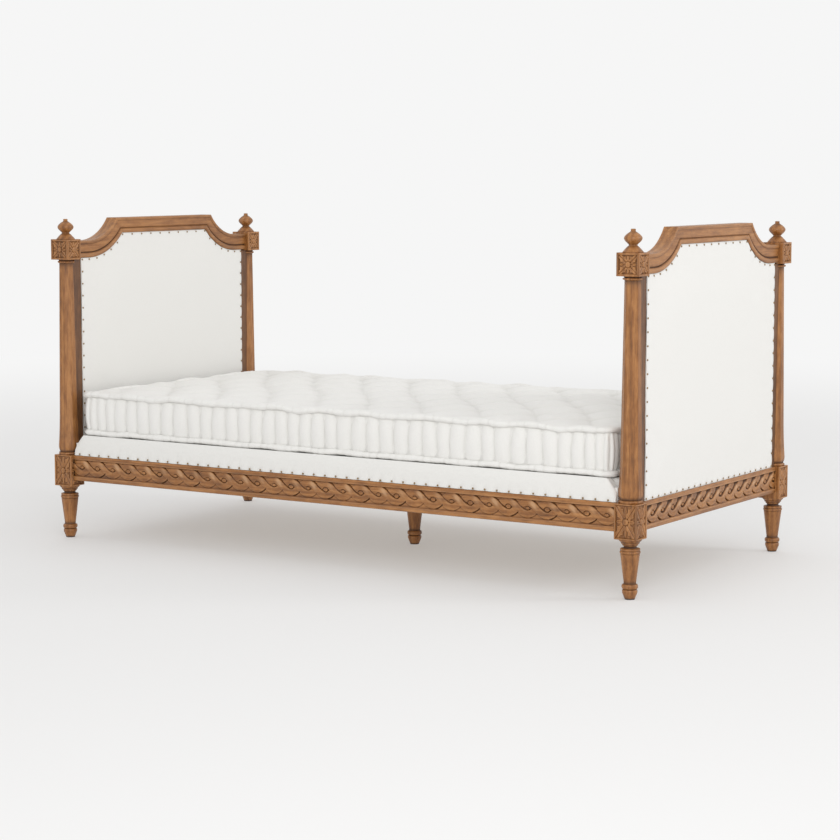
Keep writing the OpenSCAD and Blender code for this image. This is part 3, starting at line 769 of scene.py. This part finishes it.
def crestSection():
    # (share of the way from top edge to underside, half thickness, painted shade), for one face; the shade lies
    # in the field beside each bead, and values below zero are painted highlight on the proud parts
    look = crestLook
    share = np.array([0, .02, .05, .09, .13, .16, .18, .195, .215, .25, .36, .50, .60, .64, .655, .68, .705,
                      .72, .74, .77, .82, .87, .92, .96, .985, 1.0])
    drop = np.array([1.6, .5, .1, 0, 0, .2, .9, 1.9, 2.2, 2.3, 2.1, 2.1, 2.4, 2.7, 3.6, 5.0, 5.2, 4.0, 1.8, .6,
                     0, 0, .5, 1.3, 2.0, 3.0])
    stain = np.array([-.1, -.2, -.2, -.1, 0, 0, .15, .55, .4, .05, 0, 0, .1, .25, .6, .95, .95, .8, .3, 0,
                      -.15, -.15, 0, .1, .25, .5])
    return share, look["half"] - drop * look["field"] / 2.6, stain


def crestPiece(label, end):
    count = (int(crestLook["levelHalf"] / crestLook["step"]), 34, 10)
    top = crestEdge(scoopRadius, crestTop, count)
    low = crestEdge(lowRadius, crestTop - crestLook["levelDepth"], count)
    top, low = (np.concatenate([edge[:0:-1] * (-1, 1), edge]) for edge in (top, low))
    share, half, stain = crestSection()
    line = top[:, None] + (low - top)[:, None] * share[None, :, None]
    shape = line.shape[:2]
    ring = np.concatenate([line, line[:, ::-1]], 1)
    thick = np.concatenate([half, -half[::-1]])
    rings = np.stack([end * postX + np.broadcast_to(thick, ring.shape[:2]), ring[..., 0], ring[..., 1]], -1)
    bend = crestLook["levelHalf"]
    # painted shade and highlight at half strength on the level run, full on the scoops
    shadeWeight = 0.5 + 0.5 * smoothStep(np.abs(top[:, 0]), bend - 30, bend + 50)
    marks = shadeWeight[:, None] * np.concatenate([stain, stain[::-1]])
    piece = makePiece("crestRail" + label, [tube(rings, marks)], wood["Y"], sharpAngle=28)
    return standFor(piece, "frame", "carved_wood", cadName("crest_rail", label))


for label, end in (("Head", -1), ("Foot", 1)):
    crestPiece(label, end)
print("crest rails made")

# nails: where the decorative heads stand round a panel and along the bands

nailLook = {
    "radius": 2.9, "height": 1.9, "inset": 6, "pitch": 38.1, "arcCount": 5, "topCount": 9,
    "sidePitch": 39.4, "sideInset": 25, "sideRise": 5.5,
}


def panelNails():  # rows of (y, z): both sides, the bottom, the two scoops and the level top
    look, inset = nailLook, nailLook["inset"]
    side, low = panelY - inset, lowBlockTop + inset
    radius = lowRadius + inset
    high, top = crestLook["scoopZ"] - radius, crestTop - crestLook["levelDepth"] - inset
    column = np.linspace(low, high, round((high - low) / look["pitch"]) + 1)[1:]
    row = np.linspace(-side, side, round(2 * side / look["pitch"]) + 1)
    turn = math.acos((crestLook["scoopZ"] - top) / radius)
    sweep = turn * np.arange(look["arcCount"]) / look["arcCount"]
    arcY = crestLook["scoopY"] - radius * np.sin(sweep)
    arcZ = crestLook["scoopZ"] - radius * np.cos(sweep)
    topY = crestLook["scoopY"] - radius * math.sin(turn)
    level = np.linspace(-topY, topY, look["topCount"] + 1)
    y = np.concatenate([np.full(len(column), side), np.full(len(column), -side), row, arcY, -arcY, level])
    z = np.concatenate([column, column, np.full(len(row), low), arcZ, arcZ, np.full(len(level), top)])
    return np.stack([y, z], -1)


def bandNails():  # places along a side rail
    look = nailLook
    span = innerX - look["sideInset"]
    return np.linspace(-span, span, round(2 * span / look["sidePitch"]) + 1)


def nailDomes(centres, outward):
    # a low dome of three rings and a rim, at each centre, facing along outward
    look = nailLook
    angle = np.linspace(0, 2 * math.pi, 12, endpoint=False)
    radius = np.array([0.86, 1.0, 0.88, 0.55]) * look["radius"]
    rise = np.array([-0.5, 0.06, 0.62, 0.92]) * look["height"]
    side = np.array([0, 0, 1.0]) if abs(outward[2]) < 0.5 else np.array([1.0, 0, 0])
    across = np.cross(outward, side)
    spoke = np.cos(angle)[None, :, None] * across + np.sin(angle)[None, :, None] * side
    dome = radius[:, None, None] * spoke + rise[:, None, None] * outward
    points, quads, tris, _ = tube(dome)
    points[-2] = -0.5 * look["height"] * outward
    points[-1] = look["height"] * outward
    astray = rng.uniform(-0.3, 0.3, (len(centres), 1, 3)) * (1 - np.abs(outward))
    allPoints = (centres[:, None] + points[None] + astray).reshape(-1, 3)
    shift = (np.arange(len(centres)) * len(points))[:, None, None]
    return allPoints, (quads + shift).reshape(-1, 4), (tris + shift).reshape(-1, 3), np.zeros(len(allPoints))


def nailPiece(name, rows, node):
    return standFor(makePiece(name, rows, brass, sharpAngle=180), "frame", "nail_brass", node)


# end panels: a padded face between the nails, stretched from the crest to the end rail

panelLook = {
    "board": 6.0, "proud": 18.9, "edge": 17.4, "crown": 5.0, "puff": 0.5, "dent": 1.0, "dentSize": 8.0,
    "gap": 0.6, "step": 5.0,
}
nailPlaces = panelNails()


def nearest(points, marks):  # distance from each point of a grid to the closest mark, in one array
    flat = points.reshape(-1, 2)
    best = np.full(len(flat), np.inf)
    for mark in marks:
        best = np.minimum(best, np.hypot(flat[:, 0] - mark[0], flat[:, 1] - mark[1]))
    return best.reshape(points.shape[:-1])


def panelPad(label, end, face):
    # across the width, then up from rail to crest: out = proud + crown away from the nails - dents at them
    look = panelLook
    half = panelY - look["gap"]
    y = np.linspace(-half, half, int(2 * half / look["step"]) + 1)
    low, high = lowBlockTop + look["gap"], crestLowEdge(y) - look["gap"]
    rows = int((high.max() - low) / look["step"]) + 1
    share = np.linspace(0, 1, rows)
    share = np.sort(np.concatenate([share, [0.002, 0.006, 0.012, 0.988, 0.994, 0.998]]))
    yGrid = np.broadcast_to(y[:, None], (len(y), len(share)))
    z = low + (high - low)[:, None] * share[None]
    grid = np.stack([yGrid, z], -1)
    toEdge = np.minimum(np.minimum(half - np.abs(yGrid), z - low), high[:, None] - z)
    toNail = nearest(grid, nailPlaces)
    inward = toEdge - nailLook["inset"]
    crown = look["crown"] * smoothStep(inward, 0, 170) ** 0.8
    puff = look["puff"] * smoothStep(toNail, 4, 20) * smoothStep(inward, 60, 4)
    dent = look["dent"] * np.exp(-(toNail / look["dentSize"]) ** 2)
    pull = np.exp(-(toNail / 26) ** 2) * smoothStep(inward, 0, 22) * 0.7
    rolled = (look["proud"] - look["edge"]) * (1 - smoothStep(toEdge, 0, 6))
    soft = 0.5 * np.sin(yGrid / 61 + 1.3 * np.sin(z / 83)) * smoothStep(inward, 20, 120)
    out = look["proud"] + crown + puff - dent - pull - rolled + soft
    # painted shade along the panel's edge and round each nail
    stain = np.clip(0.3 * (1 - smoothStep(toEdge, 0, 4)) + 0.3 * np.exp(-(toNail / 7) ** 2), 0, 1)
    back = np.full_like(out, look["board"] + 0.3)
    side = end * face
    front = np.stack([end * postX + side * out, yGrid, z], -1)
    rear = np.stack([end * postX + side * back, yGrid, z], -1)
    rings = np.concatenate([front, rear[:, ::-1]], 1)
    marks = np.concatenate([stain, np.zeros_like(stain)], 1)
    piece = makePiece(("outer" if face > 0 else "inner") + "Panel" + label, [tube(rings, marks)], linen, 50)
    return standFor(piece, "frame", "linen", cadName("outer_pad" if face > 0 else "inner_pad", label))


for label, end in (("Head", -1), ("Foot", 1)):
    for face in (1, -1):
        panelPad(label, end, face)
    rows = []
    for side in (1.0, -1.0):
        out = end * postX + side * (panelLook["proud"] - 0.6)
        heads = np.stack([np.full(len(nailPlaces), out), *nailPlaces.T], -1)
        rows.append(nailDomes(heads, np.array([side, 0, 0])))
    nailPiece("panelNails" + label, rows, cadName("panel_nails", label))
print("end panels and their nails made")

# side bands: padding rolled over the rails, its edge held by a line of nails

bandLook = {
    "low": 268.0, "shoulder": 0.45, "swell": 1.0, "dent": 1.8, "dentSize": 8.0, "wave": 0.9, "step": 4.0,
    "gap": 2.6, "sink": 0.62, "sinkRun": 32.0, "crest": 7.0, "crestAway": 3.5, "crestWidth": 5.0,
}
bandFace = -bandLow[1]
deckTop = bandHigh[2]
bandBack = -bandHigh[1]


def sideBand(label, outward):
    # the rolled profile carried along the rail: a full-shouldered quarter round with a low crest against the
    # mattress, dented at each nail, its ends sloping down beside the columns
    look = bandLook
    reach = innerX - look["gap"]
    x = np.linspace(-reach, reach, int(2 * reach / look["step"]) + 1)
    turn = np.linspace(0, math.pi / 2, 26)
    profileOut = bandFace - (bandFace - bandBack - 2) * (1 - np.cos(turn) ** look["shoulder"])
    profileUp = look["low"] + (deckTop - look["low"]) * np.sin(turn) ** look["shoulder"]
    away = (profileOut - mattressHigh[1] - look["crestAway"]) / look["crestWidth"]
    profileUp += look["crest"] * np.exp(-away ** 2) * smoothStep(turn, 0.5, 0.9)
    lower = np.array([[bandFace - 11, look["low"] - 0.4], [bandFace - 4, look["low"] - 0.4],
                      [bandFace - 1, look["low"] - 0.2]])
    rear = [[bandBack, deckTop - 0.6], [bandBack, deckTop - 14], [bandBack + 6, look["low"] + 38]]
    profile = np.concatenate([lower, np.stack([profileOut, profileUp], -1), rear])
    normalOut = np.concatenate([[0, 0, 1], np.cos(turn), [0, 0, 0]])
    normalUp = np.concatenate([[0, 0, 0], np.sin(turn) * 0.3, [0, 0, 0]])
    places = bandNails()
    toNail = np.abs(x[:, None] - places[None]).min(1)
    rise = profile[:, 1] - (look["low"] + nailLook["sideRise"] - 1)
    dent = look["dent"] * np.exp(-(toNail[:, None] ** 2 + rise[None] ** 2) / look["dentSize"] ** 2)
    puff = look["swell"] * smoothStep(toNail, 3, 18)[:, None] * np.exp(-(rise[None] / 18) ** 2)
    wave = look["wave"] * np.sin(x / 47 + 1.1 * np.sin(x / 211))[:, None]
    wave = wave * np.exp(-((rise[None] - 26) / 22) ** 2)
    move = puff - dent + wave - 0.4
    out = profile[None, :, 0] + move * normalOut
    up = profile[None, :, 1] + np.minimum(move, 0) * normalUp
    fold = 1 - smoothStep(reach - np.abs(x), 0, 7)
    sink = 1 - look["sink"] * np.clip(1 - (reach - np.abs(x)) / look["sinkRun"], 0, 1) ** 1.2
    up = look["low"] + (up - look["low"]) * sink[:, None]
    out = out - (fold * 2.2)[:, None] * normalOut
    rings = np.stack([np.broadcast_to(x[:, None], out.shape), outward * out, up], -1)
    # painted shade round each nail and under the band's lower edge
    stain = 0.5 * np.exp(-(toNail[:, None] ** 2 + rise[None] ** 2) / 55) + 0.6 * (rise[None] < -5.2)
    stain = np.clip(stain, 0, 1)
    piece = makePiece("sideBand" + label, [tube(rings, stain)], linen, 60)
    standFor(piece, "frame", "linen", cadName("band_pad", label))
    centres = np.stack([places, np.full(len(places), outward * (bandFace + 0.2)),
                        np.full(len(places), lowBlockTop + nailLook["sideRise"])], -1)
    row = nailDomes(centres, np.array([0, float(outward), 0]))
    nailPiece("bandNails" + label, [row], cadName("band_nails", label))


for label, outward in (("Front", -1), ("Back", 1)):
    sideBand(label, outward)
print("side bands made")

# deck pad under the mattress: a flat padded board with a rounded rim

deckLook = {"rim": 9.0, "crown": 1.0, "columns": 120, "rows": 60}
deckLow, deckHigh = boxOf("deck_pad")


def roundedPad(low, high, rim, crown, columns, rows):
    # the top and underside bow out by crown; the rim is a half round where the two meet
    mid, half = (low + high) / 2, (high - low) / 2
    u, v = np.linspace(-1, 1, columns), np.linspace(-1, 1, rows)
    loopX = np.concatenate([u, np.ones(rows - 2), u[::-1], -np.ones(rows - 2)])
    loopY = np.concatenate([-np.ones(columns), v[1:-1], np.ones(columns), v[1:-1][::-1]])
    turn = np.linspace(-math.pi / 2, math.pi / 2, 11)
    inward = np.concatenate([[0.0, 0.4, 0.75, 0.93], 1 + 0 * turn, [0.93, 0.75, 0.4, 0.0]])
    bulge = np.concatenate([[0] * 4, np.cos(turn), [0] * 4])
    level = np.concatenate([[-1] * 4, np.sin(turn), [1] * 4])
    lift = np.concatenate([crown * (1 - np.array([0, .4, .75, .93]) ** 2), 0 * turn,
                           crown * (1 - np.array([.93, .75, .4, 0]) ** 2)])
    scaleX = inward * (half[0] - rim) + rim * bulge
    scaleY = inward * (half[1] - rim) + rim * bulge
    x = mid[0] + scaleX[:, None] * loopX[None]
    y = mid[1] + scaleY[:, None] * loopY[None]
    z = mid[2] + (level * (half[2] - crown) + np.sign(level) * lift)[:, None] + 0 * x
    return tube(np.stack([x, y, z], -1)[1:-1])


deck = makePiece("deckPad", [roundedPad(deckLow, deckHigh, deckLook["rim"], deckLook["crown"],
                                        deckLook["columns"], deckLook["rows"])], linen, 60)
standFor(deck, "frame", "linen", "deck_pad")

# mattress: tufted pillows above and below, a side wall sewn in upright channels, and a roll along each edge

mattressLook = {
    "tuftX": 190, "tuftY": 260, "pillow": 16.0, "puffPower": 0.6, "tuftDip": 7.0, "crown": 7.0,
    "corner": 30.0, "channel": 48.0, "channelNearCorner": (22, 28, 34, 40, 45), "channelDepth": 7.5,
    "belly": 7.5,
    "roll": 10.0, "topLift": 3.2, "lowLift": 1.3, "stepWall": 3.0, "stepTop": 8.0,
}
mattressMid = (mattressLow + mattressHigh) / 2
mattressHalf = (mattressHigh - mattressLow) / 2
topEdge = mattressHigh[2] - 19
lowEdge = mattressLow[2] + 9


def roundedLoop(halfX, halfY, corner, step):
    # plan outline of four straight sides and four quarter circles: points, outward normals, distance along
    places, normals = [], []
    for k in range(4):
        facing = k * math.pi / 2
        normal = np.array([math.cos(facing), math.sin(facing)])
        along = np.array([-math.sin(facing), math.cos(facing)])
        out, half = (halfX, halfY) if k % 2 == 0 else (halfY, halfX)
        t = np.linspace(corner - half, half - corner, int(2 * (half - corner) / step) + 1)[:-1]
        places.append(out * normal + t[:, None] * along)
        normals.append(np.broadcast_to(normal, (len(t), 2)))
        turn = facing + np.linspace(0, math.pi / 2, int(corner * math.pi / 2 / step) + 2)[:-1]
        radial = np.stack([np.cos(turn), np.sin(turn)], -1)
        places.append((out - corner) * normal + (half - corner) * along + corner * radial)
        normals.append(radial)
    places, normals = np.concatenate(places), np.concatenate(normals)
    away = np.linalg.norm(np.roll(places, -1, 0) - places, axis=1)
    return places, normals, np.concatenate([[0], np.cumsum(away)])


def channelPhase(distance, total):
    # counts the sewn channels passed at each distance: narrow ones at the four corners, wider ones between
    look = mattressLook
    near = np.array(look["channelNearCorner"], float)
    cornerRun = look["corner"] * math.pi / 2
    widths = []
    for k in range(4):
        side = 2 * (mattressHalf[1 - k % 2] - look["corner"]) + cornerRun
        middle = side - 2 * near.sum()
        count = max(1, round(middle / look["channel"]))
        some = middle / count * (1 + rng.uniform(-0.14, 0.14, count))
        some *= middle / some.sum()
        widths += [near * (1 + rng.uniform(-0.08, 0.08, len(near))), some, near[::-1]]
    seams = np.concatenate([[0], np.cumsum(np.concatenate(widths))])
    seams = seams * total / seams[-1] - cornerRun / 2
    seams = np.concatenate([seams[:-1] - total, seams, seams[1:] + total])
    return np.interp(distance, seams, np.arange(len(seams)))


def mattressWall():
    # out = outline + belly - channel depth between the rounded flutes, easing away towards the two rolls
    look = mattressLook
    halfX, halfY = mattressHalf[:2] - 3
    plan, normal, distance = roundedLoop(halfX, halfY, look["corner"], look["stepWall"])
    phase = channelPhase(distance[:-1], distance[-1])
    low, high = lowEdge + 4, topEdge - 2
    z = np.concatenate([[low], np.linspace(low, high, 34)[1:-1], [high]])
    share = (z - low) / (high - low)
    drift = 0.05 * np.sin(phase * 1.7)[:, None] * np.sin(share * 5)[None]
    flute = np.abs(np.sin(math.pi * (phase[:, None] + drift))) ** 0.82
    fade = smoothStep(share, -0.05, 0.16) * smoothStep(1 - share, -0.05, 0.16)
    vary = 1 + 0.18 * np.sin(np.floor(phase) * 2.4)[:, None]
    belly = look["belly"] * (1 - (2 * share - 1) ** 2) - look["belly"]
    tuck = -4.5 * (1 - smoothStep(share, 0, 0.08)) - 3.5 * (1 - smoothStep(1 - share, 0, 0.08))
    out = belly + tuck + look["channelDepth"] * vary * (flute - 1) * (0.45 + 0.55 * fade)
    pucker = 0.7 * np.sin(phase * math.pi * 2 + 1)[:, None] * (1 - fade)
    out = out + pucker
    inner = np.full((len(plan), 1), -26.0)
    out = np.concatenate([out, inner, inner], 1)
    zAll = np.concatenate([z, [high, low]])
    place = plan[:, None] + out[..., None] * normal[:, None]
    rings = np.concatenate([place + mattressMid[:2], np.broadcast_to(zAll[None, :, None], (*out.shape, 1))], -1)
    # painted shade in the sewn channels and in the tucks beside the rolls
    stain = np.clip(0.6 * (1 - flute) ** 3 + 0.45 * (tuck < -2.0), 0, 1)
    stain = np.concatenate([stain, 0 * inner, 0 * inner], 1)
    return tube(rings, stain, loop=True)


def rollWave(distance, total, seed):
    # a few slow waves round the outline, closing on themselves
    turn = 2 * math.pi * distance / total
    counts = np.array([17, 29, 37, 53]) + seed
    return (0.9 * np.sin(counts[0] * turn + seed) + 0.8 * np.sin(counts[1] * turn + 2.1 * seed)
            + 0.6 * np.sin(counts[2] * turn + 0.7) + 0.4 * np.sin(counts[3] * turn + seed * 1.3)) / 1.6


def mattressRoll(height, seed, girth, lift):
    # a stuffed rope of cloth round the outline: radius swells between hand stitches, and it wanders up and down
    look = mattressLook
    halfX, halfY = mattressHalf[:2] - girth
    plan, normal, distance = roundedLoop(halfX, halfY, look["corner"] - 4, 5.0)
    total, along = distance[-1], distance[:-1]
    stitches = round(total / 31)
    phase = stitches * along / total + 0.22 * np.sin(2 * math.pi * along / total * 61 + seed)
    swell = np.abs(np.sin(math.pi * phase)) ** 0.5
    lump = rollWave(along, total, seed + 3)
    radius = girth * (0.82 + 0.17 * swell + 0.1 * lump)
    turn = np.linspace(0, 2 * math.pi, 20, endpoint=False)
    lean = np.cos(turn)[None] * radius[:, None] + (0.9 * lump)[:, None]
    rise = np.sin(turn)[None] * radius[:, None] * 0.92 + lift * rollWave(along, total, seed)[:, None]
    dent = 1.5 * (1 - swell[:, None]) * np.exp(-((turn[None] - 0.7) / 0.5) ** 2)
    lean = lean - dent
    place = plan[:, None] + lean[..., None] * normal[:, None]
    rings = np.concatenate([place + mattressMid[:2], (height + rise)[..., None]], -1)
    # painted shade in the pinches at the stitches
    stain = 0.45 * (1 - swell[:, None]) ** 2 + 0 * lean
    return tube(rings, np.clip(stain, 0, 1), loop=True)


def pillows(x, y):
    # soft pillows between staggered tufts: |sin(pi p) sin(pi q)| to a low power along the two diagonals
    look = mattressLook
    driftX = x + 9 * np.sin(y / 90 + 0.4) + 6 * np.sin(x / 130)
    driftY = y + 9 * np.sin(x / 140 + 1.9)
    p = driftX / look["tuftX"] + driftY / look["tuftY"]
    q = driftX / look["tuftX"] - driftY / look["tuftY"]
    pillow = np.abs(np.sin(math.pi * p) * np.sin(math.pi * q)) ** look["puffPower"]
    toTuft = np.hypot((p - np.round(p)) * look["tuftX"] * 0.75, (q - np.round(q)) * look["tuftY"] * 0.6)
    dip = np.exp(-(toTuft / 15) ** 2)
    return pillow, dip


def mattressCovers():
    # top and underside over one grid: edge height + crown + pillows - tufts, drawn in to the rolls outside
    look = mattressLook
    halfX, halfY = mattressHalf[0] - look["roll"] * 1.2, mattressHalf[1] - look["roll"] * 1.2
    ends = halfX - 40 * (1 - np.cos(np.linspace(0, math.pi / 2, 9)))
    middle = np.linspace(-ends[-1], ends[-1], int(2 * ends[-1] / look["stepTop"]) + 1)
    x = np.concatenate([-ends[:-1], middle, ends[:-1][::-1]])
    corner = look["corner"] - 10
    over = np.clip(np.abs(x) - (halfX - corner), 0, corner)
    wide = halfY - corner + np.sqrt(np.clip(corner ** 2 - over ** 2, 0, None))
    share = np.linspace(-1, 1, int(2 * halfY / look["stepTop"]) + 1)
    share = np.sort(np.concatenate([share, [-0.995, -0.985, 0.985, 0.995]]))
    xGrid = np.broadcast_to(x[:, None], (len(x), len(share)))
    yGrid = wide[:, None] * share[None]
    toEdge = np.minimum(halfX - np.abs(xGrid), wide[:, None] - np.abs(yGrid))
    pillow, dip = pillows(xGrid, yGrid)
    inside = smoothStep(toEdge, 0, 75)
    crown = look["crown"] * (1 - (xGrid / halfX) ** 4) * (1 - (yGrid / halfY) ** 4)
    crumple = 0.8 * np.sin(xGrid / 23 + 2 * np.sin(yGrid / 31)) * np.sin(yGrid / 19 + 1.5 * np.sin(xGrid / 41))
    swell = crown + inside * (look["pillow"] * (pillow - 0.45) - look["tuftDip"] * dip) + 0.5 * crumple * inside
    swell = swell + 8 * smoothStep(toEdge, 0, 22) * (1 - smoothStep(toEdge, 30, 100)) * 0.7
    top = topEdge + 2 + swell
    low = np.maximum(lowEdge - 4 - 0.35 * swell, mattressLow[2])
    front = np.stack([xGrid, yGrid, top], -1)
    under = np.stack([xGrid, yGrid, low], -1)
    rings = np.concatenate([front, under[:, ::-1]], 1) + np.array([*mattressMid[:2], 0])
    # painted shade at the tufts and between the pillows
    stain = np.clip(0.6 * dip + 0.4 * (1 - pillow) ** 3 * inside, 0, 1)
    return tube(rings, np.concatenate([stain, stain[:, ::-1]], 1))


mattress = makePiece("tuftedMattress", [
    mattressCovers(),
    mattressWall(),
    mattressRoll(topEdge, 2, mattressLook["roll"], mattressLook["topLift"]),
    mattressRoll(lowEdge + 2.2, 5, mattressLook["roll"] * 0.98, mattressLook["lowLift"]),
], ticking, sharpAngle=180)
standFor(mattress, "mattress", "mattress_cloth", "mattress")
print("bands, deck and mattress made")

# parts kept from the CAD model get their own finishes

# the cloth is wrapped over the band boards' ends, so those show linen
finishes = {
    "stile": stilePaintedShade, "panel_board": board["Z"], "band_board": linen, "slat_cleat": board["X"],
    "centre_beam": board["X"], "slats": board["Y"], "slat_screws": steel, "rail_hook": steel,
    "post_slot": steel, "hook_plate": steel, "beam_brackets": steel, "leg_plate": steel, "leg_hanger": steel,
    "foot_glides": nylon,
}
for name, node in frame["nodes"].items():
    found = [finish for stem, finish in finishes.items() if name.startswith(stem)]
    if found:
        node.data.materials.clear()
        node.data.materials.append(found[0])

# studio: a pale floor that fades into the same pale surround, with soft light from the right and the front

studioLook = {
    "floor": (0.50, 0.50, 0.50), "floorHalf": 60.0, "glow": 0.30, "surround": (0.922, 0.922, 0.920),
    "fadeFrom": 2.2, "fadeTo": 7.5, "skyStrength": 0.86,
}
lights = {  # place, aim, size and power
    "key": ((5.6, 2.4, 3.2), (0.4, 0, 0.6), 1.6, 60),
    "fill": ((3.4, -4.6, 2.8), (0.6, 0, 0.5), 2.6, 80),
}
cameraLook = {"lens": 100.43, "place": (3.932, -6.143, 1.197), "down": 83.70, "round": 32.49}


def buildFloor():
    mesh = bpy.data.meshes.new("floor")
    half = studioLook["floorHalf"]
    points = [(x * half, y * half, 0) for x, y in ((-1, -1), (1, -1), (1, 1), (-1, 1))]
    mesh.from_pydata(points, [], [(0, 1, 2, 3)])
    floor = bpy.data.objects.new("floor", mesh)
    scene.collection.objects.link(floor)
    material, tree, shader = newMaterial("studioFloor")
    shader.inputs["Base Color"].default_value = (*studioLook["floor"], 1)
    shader.inputs["Roughness"].default_value = 0.8
    # the floor glows a little: painted light that lifts the shadow under the bed
    shader.inputs["Emission Color"].default_value = (1.0, 0.985, 0.965, 1)
    shader.inputs["Emission Strength"].default_value = studioLook["glow"]
    place, far = addNode(tree, "TexCoord"), tree.nodes.new("ShaderNodeVectorMath")
    far.operation = "LENGTH"
    link(tree, place.outputs["Object"], far.inputs[0])
    fade = tree.nodes.new("ShaderNodeMapRange")
    fade.interpolation_type = "SMOOTHSTEP"
    fade.inputs["From Min"].default_value = studioLook["fadeFrom"]
    fade.inputs["From Max"].default_value = studioLook["fadeTo"]
    glow, blend = addNode(tree, "Emission"), addNode(tree, "MixShader")
    glow.inputs["Color"].default_value = (*studioLook["surround"], 1)
    link(tree, far.outputs["Value"], fade.inputs["Value"])
    link(tree, fade.outputs[0], blend.inputs[0])
    link(tree, shader.outputs[0], blend.inputs[1])
    link(tree, glow.outputs[0], blend.inputs[2])
    link(tree, blend.outputs[0], tree.nodes["Material Output"].inputs["Surface"])
    mesh.materials.append(material)


def buildSurround():
    world = bpy.data.worlds.new("surround")
    scene.world = world
    world.use_nodes = True
    tree = world.node_tree
    lighting = tree.nodes["Background"]
    lighting.inputs["Color"].default_value = (1, 1, 1, 1)
    lighting.inputs["Strength"].default_value = studioLook["skyStrength"]
    seen = addNode(tree, "Background")
    seen.inputs["Color"].default_value = (*studioLook["surround"], 1)
    ray, blend = addNode(tree, "LightPath"), addNode(tree, "MixShader")
    link(tree, ray.outputs["Is Camera Ray"], blend.inputs[0])
    link(tree, lighting.outputs[0], blend.inputs[1])
    link(tree, seen.outputs[0], blend.inputs[2])
    link(tree, blend.outputs[0], tree.nodes["World Output"].inputs["Surface"])


def softLight(name, place, aim, size, power):
    lamp = bpy.data.lights.new(name, "AREA")
    lamp.shape = "DISK"
    lamp.size = size
    lamp.energy = power
    light = bpy.data.objects.new(name, lamp)
    light.location = place
    light.rotation_euler = (Vector(aim) - Vector(place)).to_track_quat("-Z", "Y").to_euler()
    scene.collection.objects.link(light)


buildFloor()
buildSurround()
for name, settings in lights.items():
    softLight(name, *settings)
scene.view_settings.view_transform = "Standard"

lens = bpy.data.cameras.new("camera")
lens.lens = cameraLook["lens"]
lens.sensor_width = 36
lens.clip_end = 100
camera = bpy.data.objects.new("camera", lens)
camera.location = cameraLook["place"]
camera.rotation_euler = (math.radians(cameraLook["down"]), 0, math.radians(cameraLook["round"]))
scene.collection.objects.link(camera)
scene.camera = camera
print("studio and camera set")
